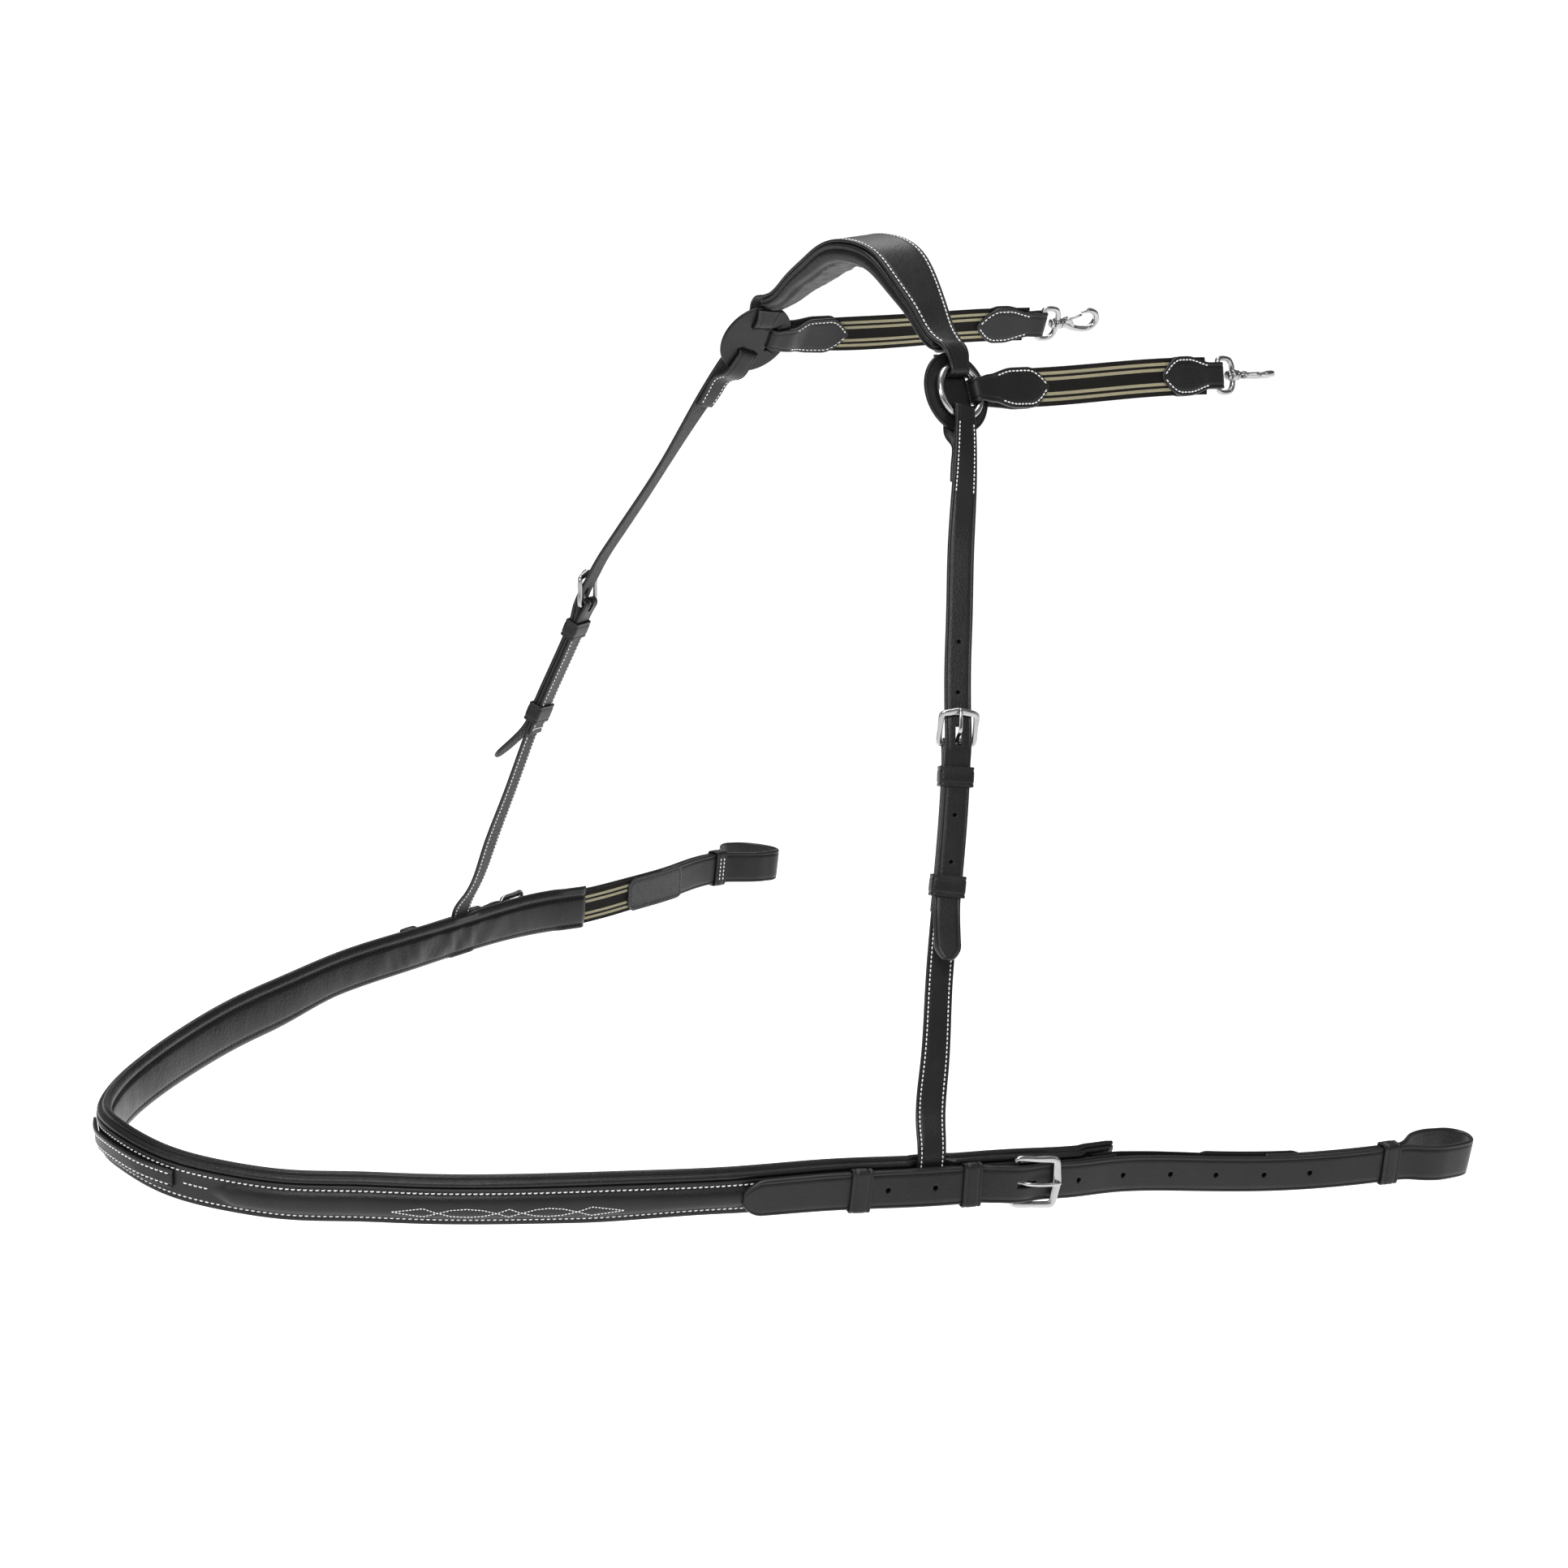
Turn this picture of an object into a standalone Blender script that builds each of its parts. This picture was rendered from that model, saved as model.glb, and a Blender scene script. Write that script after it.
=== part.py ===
"""Padded breast collar for a riding horse.

A U-shaped padded breast band, two neck straps with buckles, a padded wither
bridge, two steel rings, two elastic saddle straps with swivel snaps, and two
girth billets with elastic inserts and girth loops.

Axes: the chest side looks along -Y, the girth side along +Y, +X is the
horse's left, +Z is up.  The origin is the underside of the wither bridge at
its crest, on the symmetry plane.  All constants below are in millimetres.
"""
import bpy
import bmesh
import math
import numpy as np

MM = 0.001                  # metres per millimetre
GAP = 0.3                   # clearance between neighbouring pieces

# ---------------------------------------------------------------- dimensions
# breast band: half plan and height of its seam surface, chest centre to rear
BAND_ROUTE = [(0, -595.5, -488), (40, -587, -492), (75, -563.5, -497),
              (104, -534.5, -500.5), (125.5, -505, -502), (146, -475, -504.5),
              (181, -415, -509), (209, -355, -514), (235, -295, -519),
              (254, -235, -524.5), (275, -175, -531.5), (292, -115, -538),
              (301, -75, -544), (304.5, -40, -549)]
BAND_TILT = [6, 6, 7, 8, 9, 10, 11, 9, 6, 1, -5, -2, 2, 2]   # degrees, top edge out
BAND_WIDTH_FRONT, BAND_WIDTH_REAR = 33.0, 37.5      # padded width
BAND_RIM = 1.6              # lining stands out past the leather, each edge
BAND_LEATHER = 2.6
RIDGE_HEIGHT, RIDGE_HALF = 5.2, 8.0
RIDGE_START, RIDGE_END = 150.0, 365.0               # along the band
BAND_PAD = 8.0              # padding thickness
FRONT_LOOP_HALF, FRONT_LOOP_LIFT = 50.0, 1.6        # chest loop, half length and play

# girth side: run of the billet and the band elastic past the band's end
GIRTH_TAIL_L = [(322, 22, -559.5), (344, 80, -567.5), (366, 130, -569),
                (376, 178, -573.5), (381, 222, -581)]
GIRTH_TAIL_R = [(322, 22, -558), (344, 80, -567), (366, 130, -575),
                (376, 178, -584), (381, 222, -592)]
BILLET_WIDTH, BILLET_THICK = 25.0, 3.2
BILLET_TIP_Y = -292.0       # where the point of the billet lies on the band
GIRTH_BAR_Y = -117.0        # hinge bar of the girth buckle
KEEPER_FRONT_Y = -218.0     # forward keeper on the band
GIRTH_KEEPER_Y = 146.0      # keeper in front of the girth loop
GIRTH_LOOP_LEAN = {"l": (-4.0, -4.0, 5.0), "r": (13.0, 3.0, 0.0)}  # outer bow, inner bow, length
TAB_START_Y, TAB_END_Y = 16.0, 88.0                 # leather tab, elastic to billet

# neck straps, ring down to band
NECK_ROUTE = [(112, -16, -69), (135, -35.3, -119.5), (156, -52.3, -159.5), (175, -69, -199.5),
              (194, -86, -239.5), (203, -93, -262), (211.5, -100.5, -290), (229.5, -121, -352),
              (245, -140.5, -418.5), (255.5, -151.5, -458.5), (266, -163, -496)]
NECK_FOOT_Y = -171.0        # where the strap's foot is sewn into the band
NECK_WIDTH, NECK_THICK = 19.5, 2.2
NECK_BILLET_WIDTH, NECK_BILLET_THICK = 17.6, 2.6
NECK_BAR_S = 237.0          # hinge bar, from the ring centre
NECK_TIP_S = 374.0
NECK_KEEPERS_S = (258.0, 328.0)

# ring and its leather guard
RING_CENTRE = (112.0, -16.0, -69.0)
RING_AZ, RING_EL = 7.0, 26.0                        # degrees, ring normal
RING_OUTER, RING_WIRE = 20.0, 2.4
GUARD_RADIUS = 27.5
GUARD_FRONT, GUARD_BACK = -3.0, -5.5
FOLD_REACH = 12.7           # strap folds reach this close to the ring centre

# wither bridge, crest to ring: seam surface between leather and lining
PAD_ROUTE = [(0, 0, 11.2), (27, -1, 6.6), (50, -4, -8.5), (70.5, -8, -24.5),
             (89, -11.5, -38.5), (99, -13.5, -48.5), (105.5, -15, -57.5)]
PAD_WIDTH_CREST, PAD_WIDTH_TAB = 44.0, 24.0
PAD_LEATHER = 2.4
PAD_THICK_CREST, PAD_THICK_TAB = 15.0, 9.0

# saddle straps: ring, elastic, swivel snap
SADDLE_ROUTE_L = [(112, -16, -69), (110, 5, -71), (109, 30, -74), (107, 64, -78),
                  (101, 120, -83.5), (98, 177, -88.5), (94, 236, -96)]
SADDLE_ROUTE_R = [(112, -16, -69), (110, 5, -71), (109, 30, -73), (107, 64, -77.5),
                  (101, 120, -81), (98, 177, -84.5), (94, 236, -90)]
SADDLE_TAB_END = 80.0       # point of the front tab, from the ring centre
SADDLE_REAR_START = 194.0   # point of the rear tab
ELASTIC_WIDTH, ELASTIC_THICK = 26.0, 1.6
TAB_THICK = 1.8
SNAP_BAR_S = 254.0          # bar of the snap's eye

# girth and neck buckles
BUCKLES = {
    "band": dict(bar_r=1.5, wire_r=2.0, half=15.3, free_t=27.0),
    "neck": dict(bar_r=1.4, wire_r=1.7, half=11.5, free_t=19.0),
}

LIFT = 3.8                  # raises the drawn routes to the origin under the crest


def lifted(route):
    return [(x, y, z + LIFT) for x, y, z in route]


BAND_ROUTE, GIRTH_TAIL_L, GIRTH_TAIL_R = lifted(BAND_ROUTE), lifted(GIRTH_TAIL_L), lifted(GIRTH_TAIL_R)
NECK_ROUTE, PAD_ROUTE = lifted(NECK_ROUTE), lifted(PAD_ROUTE)
SADDLE_ROUTE_L, SADDLE_ROUTE_R = lifted(SADDLE_ROUTE_L), lifted(SADDLE_ROUTE_R)
RING_CENTRE = lifted([RING_CENTRE])[0]

# ----------------------------------------------------------------- materials
COLOURS = {
    "leather": ((0.022, 0.022, 0.024, 1), 0.45, 0.0),
    "lining": ((0.030, 0.030, 0.032, 1), 0.55, 0.0),
    "elastic": ((0.035, 0.033, 0.026, 1), 0.8, 0.0),
    "steel": ((0.62, 0.62, 0.62, 1), 0.18, 1.0),
}


def clear_scene():
    for obj in list(bpy.data.objects):
        bpy.data.objects.remove(obj, do_unlink=True)


def material_for(name, kind):
    colour, rough, metal = COLOURS[kind]
    mat = bpy.data.materials.new(name + "_finish")
    mat.use_nodes = True
    node = mat.node_tree.nodes["Principled BSDF"]
    node.inputs["Base Color"].default_value = colour
    node.inputs["Roughness"].default_value = rough
    node.inputs["Metallic"].default_value = metal
    return mat


# ------------------------------------------------------------ curve geometry
def spline(points, count=None, step=22.0, least=1):
    """Natural cubic spline through points.

    With count: that many samples evenly spread.  Without: every given point,
    and as many between two of them as keep the samples within step.
    """
    p = np.array(points, float)
    t = np.concatenate([[0], np.cumsum(np.linalg.norm(np.diff(p, axis=0), axis=1))])
    n = len(t)
    a = np.zeros((n, n))
    r = np.zeros(p.shape)
    a[0, 0] = a[-1, -1] = 1.0
    for i in range(1, n - 1):
        h0, h1 = t[i] - t[i - 1], t[i + 1] - t[i]
        a[i, i - 1], a[i, i], a[i, i + 1] = h0, 2 * (h0 + h1), h1
        r[i] = 6 * ((p[i + 1] - p[i]) / h1 - (p[i] - p[i - 1]) / h0)
    m = np.linalg.solve(a, r)
    if count:
        ts = np.linspace(0, t[-1], count)
    else:
        ts = [0.0]
        for i in range(n - 1):
            parts = max(least, math.ceil((t[i + 1] - t[i]) / step))
            ts.extend(t[i] + (t[i + 1] - t[i]) * (j + 1) / parts for j in range(parts))
        ts = np.array(ts)
    k = np.clip(np.searchsorted(t, ts, side="right") - 1, 0, n - 2)
    h = (t[k + 1] - t[k])[:, None]
    u = (ts - t[k])[:, None]
    v = h - u
    return (m[k] * v ** 3 + m[k + 1] * u ** 3) / (6 * h) \
        + (p[k] / h - m[k] * h / 6) * v + (p[k + 1] / h - m[k + 1] * h / 6) * u


def easy(points, step=22.0):
    """Smooth path that never swings past its points (monotone cubic)."""
    p = np.array(points, float)
    t = np.concatenate([[0], np.cumsum(np.linalg.norm(np.diff(p, axis=0), axis=1))])
    h = np.diff(t)[:, None]
    d = np.diff(p, axis=0) / h
    m = np.zeros(p.shape)
    m[0], m[-1] = d[0], d[-1]
    same = d[1:] * d[:-1] > 0
    w1, w2 = 2 * h[1:] + h[:-1], h[1:] + 2 * h[:-1]
    safe0, safe1 = np.where(same, d[:-1], 1.0), np.where(same, d[1:], 1.0)
    m[1:-1] = np.where(same, (w1 + w2) / (w1 / safe0 + w2 / safe1), 0.0)
    out = [tuple(p[0])]
    for i in range(len(h)):
        parts = max(1, math.ceil(h[i][0] / step))
        for j in range(1, parts + 1):
            u = j / parts
            q = (2 * u ** 3 - 3 * u ** 2 + 1) * p[i] + (u ** 3 - 2 * u ** 2 + u) * h[i] * m[i] \
                + (3 * u ** 2 - 2 * u ** 3) * p[i + 1] + (u ** 3 - u ** 2) * h[i] * m[i + 1]
            out.append(tuple(q))
    return out


def unit(v):
    v = np.asarray(v, float)
    return v / np.linalg.norm(v, axis=-1, keepdims=True)


class Ribbon:
    """A smooth run with a tangent, a width direction and an outward normal."""

    def __init__(self, points, across, samples=900):
        self.p = spline(points, samples)
        step = np.linalg.norm(np.diff(self.p, axis=0), axis=1)
        self.s = np.concatenate([[0], np.cumsum(step)])
        self.t = unit(np.gradient(self.p, self.s, axis=0))
        a = spline([tuple(pt) + tuple(ac) for pt, ac in zip(points, across)], samples)[:, 3:]
        a = a - self.t * np.sum(a * self.t, axis=1, keepdims=True)
        self.w = unit(a)
        self.n = np.cross(self.t, self.w)
        self.length = self.s[-1]

    def frame(self, s):
        c = min(max(s, 0.0), self.length)
        p, t, w, n = ([np.interp(c, self.s, q[:, i]) for i in range(3)]
                      for q in (self.p, self.t, self.w, self.n))
        p, t = np.array(p), unit(t)
        w = unit(np.array(w) - t * np.dot(w, t))
        return p + t * (s - c), t, w, np.cross(t, w)

    def at(self, s, w, n):
        p, t, wd, nd = self.frame(s)
        return p + wd * w + nd * n

    def s_at_y(self, y, lo=0.0, hi=None):
        hi = self.length if hi is None else hi
        keep = (self.s >= lo) & (self.s <= hi)
        return float(self.s[keep][np.argmin(abs(self.p[keep][:, 1] - y))])


def mix(a, b, u):
    u = min(max(u, 0.0), 1.0)
    return a + (b - a) * u * u * (3 - 2 * u)


# -------------------------------------------------------------- mesh builders
def add_object(name, verts, faces, kind, sgn=1, origin=None, smooth=True, angle=35):
    """One closed body; sgn=-1 mirrors the piece to the horse's right."""
    v = np.array(verts, float) * (sgn, 1, 1) * MM
    o = np.zeros(3) if origin is None else np.array(origin, float) * (sgn, 1, 1) * MM
    mesh = bpy.data.meshes.new(name)
    mesh.from_pydata([tuple(q) for q in v - o], [], faces)
    bm = bmesh.new()
    bm.from_mesh(mesh)
    bmesh.ops.recalc_face_normals(bm, faces=bm.faces)
    bm.to_mesh(mesh)
    bm.free()
    if smooth:
        mesh.shade_smooth()
        mesh.set_sharp_from_angle(angle=math.radians(angle))
    mesh.materials.append(material_for(name, kind))
    obj = bpy.data.objects.new(name, mesh)
    obj.location = tuple(o)
    bpy.context.scene.collection.objects.link(obj)
    return obj


def loft(rings, closed=False):
    k = len(rings[0])
    verts = [p for ring in rings for p in ring]
    faces = []
    count = len(rings)
    for i in range(count if closed else count - 1):
        a, b = i * k, ((i + 1) % count) * k
        for j in range(k):
            faces.append((a + j, a + (j + 1) % k, b + (j + 1) % k, b + j))
    if not closed:
        faces.append(tuple(range(k)))
        faces.append(tuple((count - 1) * k + j for j in range(k)))
    return verts, faces


def strap_rings(ribbon, path, width, thick):
    """Rectangular section swept along a path of (s, n) points."""
    q = np.array(path, float)
    d = np.gradient(q, axis=0)
    d = d / np.linalg.norm(d, axis=1, keepdims=True)
    rings = []
    for i, (s, n) in enumerate(q):
        w = (width[i] if hasattr(width, "__len__") else width) / 2
        h = (thick[i] if hasattr(thick, "__len__") else thick) / 2
        ns, nn = -d[i][1], d[i][0]
        rings.append([ribbon.at(s - h * ns, -w, n - h * nn), ribbon.at(s - h * ns, w, n - h * nn),
                      ribbon.at(s + h * ns, w, n + h * nn), ribbon.at(s + h * ns, -w, n + h * nn)])
    return rings


def strap(name, ribbon, path, width, thick, kind, sgn):
    return add_object(name, *loft(strap_rings(ribbon, path, width, thick)), kind, sgn)


def wire(points, radius, up, sides=8, closed=False, flat=1.0):
    """Round rod along 3-D points; up is the normal of the plane it bends in."""
    p = np.array(points, float)
    n = len(p)
    up = unit(up)
    if closed:
        t = unit(np.roll(p, -1, axis=0) - np.roll(p, 1, axis=0))
    else:
        t = unit(np.gradient(p, axis=0))
    rings = []
    for i in range(n):
        side = unit(np.cross(t[i], up))
        r = radius[i] if hasattr(radius, "__len__") else radius
        ring = []
        for j in range(sides):
            a = 2 * math.pi * (j + 0.5) / sides
            ring.append(p[i] + up * math.cos(a) * r * flat + side * math.sin(a) * r)
        rings.append(ring)
    return loft(rings, closed)


def cut(obj, cutter_name, corners, operation="DIFFERENCE"):
    """Boolean with a convex eight-corner block given as two quads."""
    verts = [np.array(c) * MM for c in corners]
    faces = [(0, 1, 2, 3), (4, 5, 6, 7), (0, 1, 5, 4), (1, 2, 6, 5), (2, 3, 7, 6), (3, 0, 4, 7)]
    mesh = bpy.data.meshes.new(cutter_name)
    mesh.from_pydata([tuple(v) for v in verts], [], faces)
    bm = bmesh.new()
    bm.from_mesh(mesh)
    bmesh.ops.recalc_face_normals(bm, faces=bm.faces)
    bm.to_mesh(mesh)
    bm.free()
    add_boolean(obj, mesh, cutter_name, operation)


def add_boolean(obj, mesh, name, operation):
    tool = bpy.data.objects.new(name, mesh)
    tool.hide_render = True
    tool.display_type = "WIRE"
    bpy.context.scene.collection.objects.link(tool)
    mod = obj.modifiers.new(name, "BOOLEAN")
    mod.operation = operation
    mod.object = tool


def block(ribbon, s0, s1, w0, w1, n0, n1, sgn):
    """Corners of a block in a ribbon's own frame at its middle."""
    p, t, w, n = ribbon.frame((s0 + s1) / 2)
    m = (s0 + s1) / 2
    out = []
    for nn in (n0, n1):
        for ss, ww in ((s0, w0), (s1, w0), (s1, w1), (s0, w1)):
            out.append((p + t * (ss - m) + w * ww + n * nn) * (sgn, 1, 1))
    return out


def keeper(name, ribbon, s_mid, length, w_half, n0, n1, sgn, thick=1.4):
    """Leather loop round a stack of straps."""
    def loop(s, grow):
        w, a, b, c = w_half + grow, n0 - grow, n1 + grow, 0.08 + 0.8 * grow / thick
        pts = [(-w + c, a), (w - c, a), (w, a + c), (w, b - c), (w - c, b), (-w + c, b),
               (-w, b - c), (-w, a + c)]
        p, t, wd, nd = ribbon.frame(s_mid)
        return [p + t * (s - s_mid) + wd * x + nd * y for x, y in pts]
    s0, s1 = s_mid - length / 2, s_mid + length / 2
    rings = [loop(s0, 0), loop(s0, thick), loop(s1, thick), loop(s1, 0)]
    return add_object(name, *loft(rings, closed=True), "leather", sgn)


def arc(cs, cn, r, a0, a1, count):
    return [(cs + r * math.cos(a), cn + r * math.sin(a))
            for a in np.radians(np.linspace(a0, a1, count))]


def pointed(path, width, ends=(True, True), length=12.0, tip=3.0):
    """Width along a path with one or both ends drawn to a blunt point."""
    q = np.array(path, float)
    s = np.concatenate([[0], np.cumsum(np.linalg.norm(np.diff(q, axis=0), axis=1))])
    out = []
    for d0, d1 in zip(s, s[-1] - s):
        d = min(d0 if ends[0] else 1e9, d1 if ends[1] else 1e9)
        u = min(d / length, 1.0)
        out.append(tip + (width - tip) * math.sin(u * math.pi / 2) ** 0.8 if u > 0 else tip)
    return out


# ---------------------------------------------------------------- the frames
def mirrored(route):
    return [(-x, y, z) for x, y, z in route[:0:-1]] + list(route)


def band_across(route):
    """Width direction of the band: up, leaning outward."""
    p = np.array(route, float)
    t = np.gradient(p, axis=0)
    t[:, 2] = 0
    t = unit(t)
    out = []
    half = len(route) // 2
    for i, d in enumerate(t):
        tilt = math.radians(BAND_TILT[abs(i - half)])
        normal = np.array([d[1], -d[0], 0])
        out.append(np.array([0, 0, 1]) * math.cos(tilt) + normal * math.sin(tilt))
    return out


def ring_axes():
    az, el = math.radians(RING_AZ), math.radians(RING_EL)
    n = np.array([math.cos(az) * math.cos(el), math.sin(az) * math.cos(el), math.sin(el)])
    h = unit(np.array([0, 1, 0]) - n * n[1])
    return n, h, np.cross(n, h)


RING_N, RING_H, RING_V = ring_axes()


def band_ribbon():
    route = mirrored(BAND_ROUTE)
    return Ribbon(route, band_across(route), 2400)


def girth_ribbon(tail):
    full = mirrored(BAND_ROUTE)
    across = band_across(full)
    half = len(full) // 2
    route = list(BAND_ROUTE) + list(tail)
    side = [tuple(a) for a in across[half:]] + [(0.03, 0, 1)] * len(tail)
    return Ribbon(route, side, 1800)


def to_plane(direction):
    d = np.asarray(direction, float)
    return unit(d - RING_N * np.dot(d, RING_N))


def neck_ribbon(band):
    c = np.array(RING_CENTRE)
    down = to_plane(np.array(NECK_ROUTE[2]) - c)
    s = band.length / 2 + BAND_NECK_S
    p, t, w, n = band.frame(s)
    foot = [band.at(s, 20, -1.5), band.at(s, 10, -1.35), band.at(s, -10, -1.35)]
    route = [tuple(c), tuple(c + down * 22), tuple(c + down * 44)] \
        + [tuple(q) for q in NECK_ROUTE[2:]] + [tuple(q) for q in foot]
    w0 = np.cross(RING_N, down)
    mid = unit(np.array([0.42, 0.91, 0.0]))
    across = [w0, w0, unit(w0 + mid * 0.3)] + [mid] * (len(NECK_ROUTE) - 2) + [t, t, t]
    return Ribbon(route, across, 1500)


def saddle_ribbon(route):
    c = np.array(RING_CENTRE)
    rear = to_plane(np.array(route[3]) - c)
    pts = [tuple(c + rear * d) for d in (0, 10, 20, 30)] + [tuple(q) for q in route[3:]]
    w0 = np.cross(RING_N, rear)
    lean = unit([-0.25, 0, 0.97])
    across = [w0] * 4 + [lean] * (len(route) - 3)
    return Ribbon(pts, across, 1200)


def pad_ribbon():
    c = np.array(RING_CENTRE)
    up = to_plane(np.array(PAD_ROUTE[-2]) - c)
    half = [np.array(q, float) for q in PAD_ROUTE[:-2]] + [c + up * 28, c + up * 19, c + up * 9, c]
    w0 = np.cross(-up, RING_N) * -1
    route, across = [], []
    n = len(half)
    for i in range(n - 1, 0, -1):
        route.append(tuple(half[i] * (-1, 1, 1)))
        a = w0 * (-1, 1, 1) if i >= n - 4 else (0, 1, 0)
        across.append(a)
    for i in range(n):
        route.append(tuple(half[i]))
        across.append(w0 if i >= n - 4 else (0, 1, 0))
    return Ribbon(route, across, 1500)


BAND_HALF = 0.0
BAND_NECK_S = 0.0


# ------------------------------------------------------------------ the parts
def relief(s):
    """How far the band's lining gives way where a strap lies on it."""
    a = abs(s)
    neck = mix(0, 1, (15.5 - abs(a - BAND_NECK_S)) / 4.0) if abs(a - BAND_NECK_S) < 15.5 else 0
    rear = mix(0, 1, (a - (BAND_HALF - 30)) / 8.0)
    return 3.0 * max(neck, rear)


def build_band(band):
    stations = np.concatenate([np.linspace(-BAND_HALF, -BAND_HALF + 34, 5),
                               np.linspace(-BAND_HALF + 42, -BAND_NECK_S - 22, 8),
                               -BAND_NECK_S + np.array([-15, -11, 11, 15]),
                               np.linspace(-BAND_NECK_S + 24, 0, 24)])
    stations = np.concatenate([stations, -stations[-2::-1]])
    mid = band.length / 2
    outer, lining = [], []
    for s in stations:
        u = abs(s) / BAND_HALF
        full = BAND_WIDTH_FRONT + (BAND_WIDTH_REAR - BAND_WIDTH_FRONT) * u
        w = full / 2 - BAND_RIM
        rise = mix(0, 1, (abs(s) - RIDGE_START) / 40) * mix(1, 0, (abs(s) - RIDGE_END) / 25)
        top = BAND_LEATHER + 0.3 + (RIDGE_HEIGHT - BAND_LEATHER - 0.3) * rise
        sec = [(-w, 0.15), (w, 0.15), (w, BAND_LEATHER), (RIDGE_HALF, BAND_LEATHER + 0.2),
               (RIDGE_HALF * 0.5, top), (-RIDGE_HALF * 0.5, top), (-RIDGE_HALF, BAND_LEATHER + 0.2),
               (-w, BAND_LEATHER)]
        outer.append([band.at(mid + s, a, b) for a, b in sec])
        r = relief(s)
        w, t = full / 2, BAND_PAD
        sec = [(-w + 1.5, -0.15 - r), (w - 1.5, -0.15 - r), (w, -2.2 - r), (w - 3, -t + 1.5 - r * 0.4),
               (w * 0.4, -t - r * 0.3), (-w * 0.4, -t - r * 0.3), (-w + 3, -t + 1.5 - r * 0.4), (-w, -2.2 - r)]
        lining.append([band.at(mid + s, a, b) for a, b in sec])
    add_object("breast_band_outer", *loft(outer), "leather")
    add_object("breast_band_lining", *loft(lining), "lining")


def build_front_loop(band):
    mid = band.length / 2
    rings = []
    for s in np.linspace(-FRONT_LOOP_HALF, FRONT_LOOP_HALF, 17):
        lift = mix(0, FRONT_LOOP_LIFT, (FRONT_LOOP_HALF - abs(s)) / 30)
        n = BAND_LEATHER + 0.3 + GAP + lift
        rings.append([band.at(mid + s, a, b) for a, b in
                      ((-6.5, n), (6.5, n), (6.5, n + 2.0), (-6.5, n + 2.0))])
    add_object("front_loop_strap", *loft(rings), "leather")


def buckle(kind, prefix, ribbon, s_bar, n_bar, n_free, way, sgn):
    """Frame with a hinge bar, and the tongue's hook and blade.

    way is +1 or -1: which way along the ribbon the free bar lies.
    """
    b = BUCKLES[kind]
    p, t, w, n = ribbon.frame(s_bar)
    t = t * way
    c = p + n * n_bar
    lean = unit(t * b["free_t"] + n * (n_free - n_bar))
    up = np.cross(lean, w)
    length = math.hypot(b["free_t"], n_free - n_bar)
    r_c, half = 3.0, b["half"]
    pts, radii = [], []
    for x, y in ((0, -half), (0, -half * 0.5), (0, half * 0.5), (0, half)):
        pts.append(c + lean * x + w * y)
        radii.append(b["bar_r"] if abs(y) < half else (b["bar_r"] + b["wire_r"]) / 2)
    for a in (0, 30, 60, 90):
        a = math.radians(a)
        pts.append(c + lean * (length - r_c + r_c * math.sin(a)) + w * (half - r_c + r_c * math.cos(a)))
        radii.append(b["wire_r"])
    pts.append(c + lean * (length + 1.6))
    radii.append(b["wire_r"])
    for a in (90, 60, 30, 0):
        a = math.radians(a)
        pts.append(c + lean * (length - r_c + r_c * math.sin(a)) - w * (half - r_c + r_c * math.cos(a)))
        radii.append(b["wire_r"])
    add_object(prefix + "_buckle_frame", *wire(pts, radii, up, 8, closed=True), "steel", sgn)

    # tongue: a hook round the bar, then a blade out through the billet
    hook_r = b["bar_r"] + GAP + 0.6
    ft = b["free_t"]
    free_top = (n_free - n_bar) * (1 + 1.6 / length) + b["wire_r"] + 0.45 + 1.1
    path = arc(0, 0, hook_r, -20, -285, 12)
    blade = [path[-1], (ft * 0.12, hook_r + 0.9), (ft * 0.24, hook_r + 3.0), (ft * 0.4, free_top - 0.9),
             (ft * 0.6, free_top + 0.1), (ft, free_top), (ft + b["wire_r"] + 1.4, free_top - 0.8)]
    blade = [tuple(q) for q in spline(blade, 13)]
    path = path + blade[1:]
    thick = [1.1] * 12 + [min(1.1 + 0.14 * k, 2.1) for k in range(1, 13)]
    q = np.array(path)
    d = np.gradient(q, axis=0)
    d = d / np.linalg.norm(d, axis=1, keepdims=True)
    rings = []
    for i in range(len(q)):
        h, ww = thick[i] / 2, 1.25
        ring = []
        for off, wid in ((-h, -ww), (-h, ww), (h, ww * 0.8), (h, -ww * 0.8)):
            x, y = q[i] + off * np.array([-d[i][1], d[i][0]])
            ring.append(c + t * x + n * y + w * wid)
        rings.append(ring)
    add_object(prefix + "_buckle_tongue", *loft(rings), "steel", sgn, origin=c)


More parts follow.
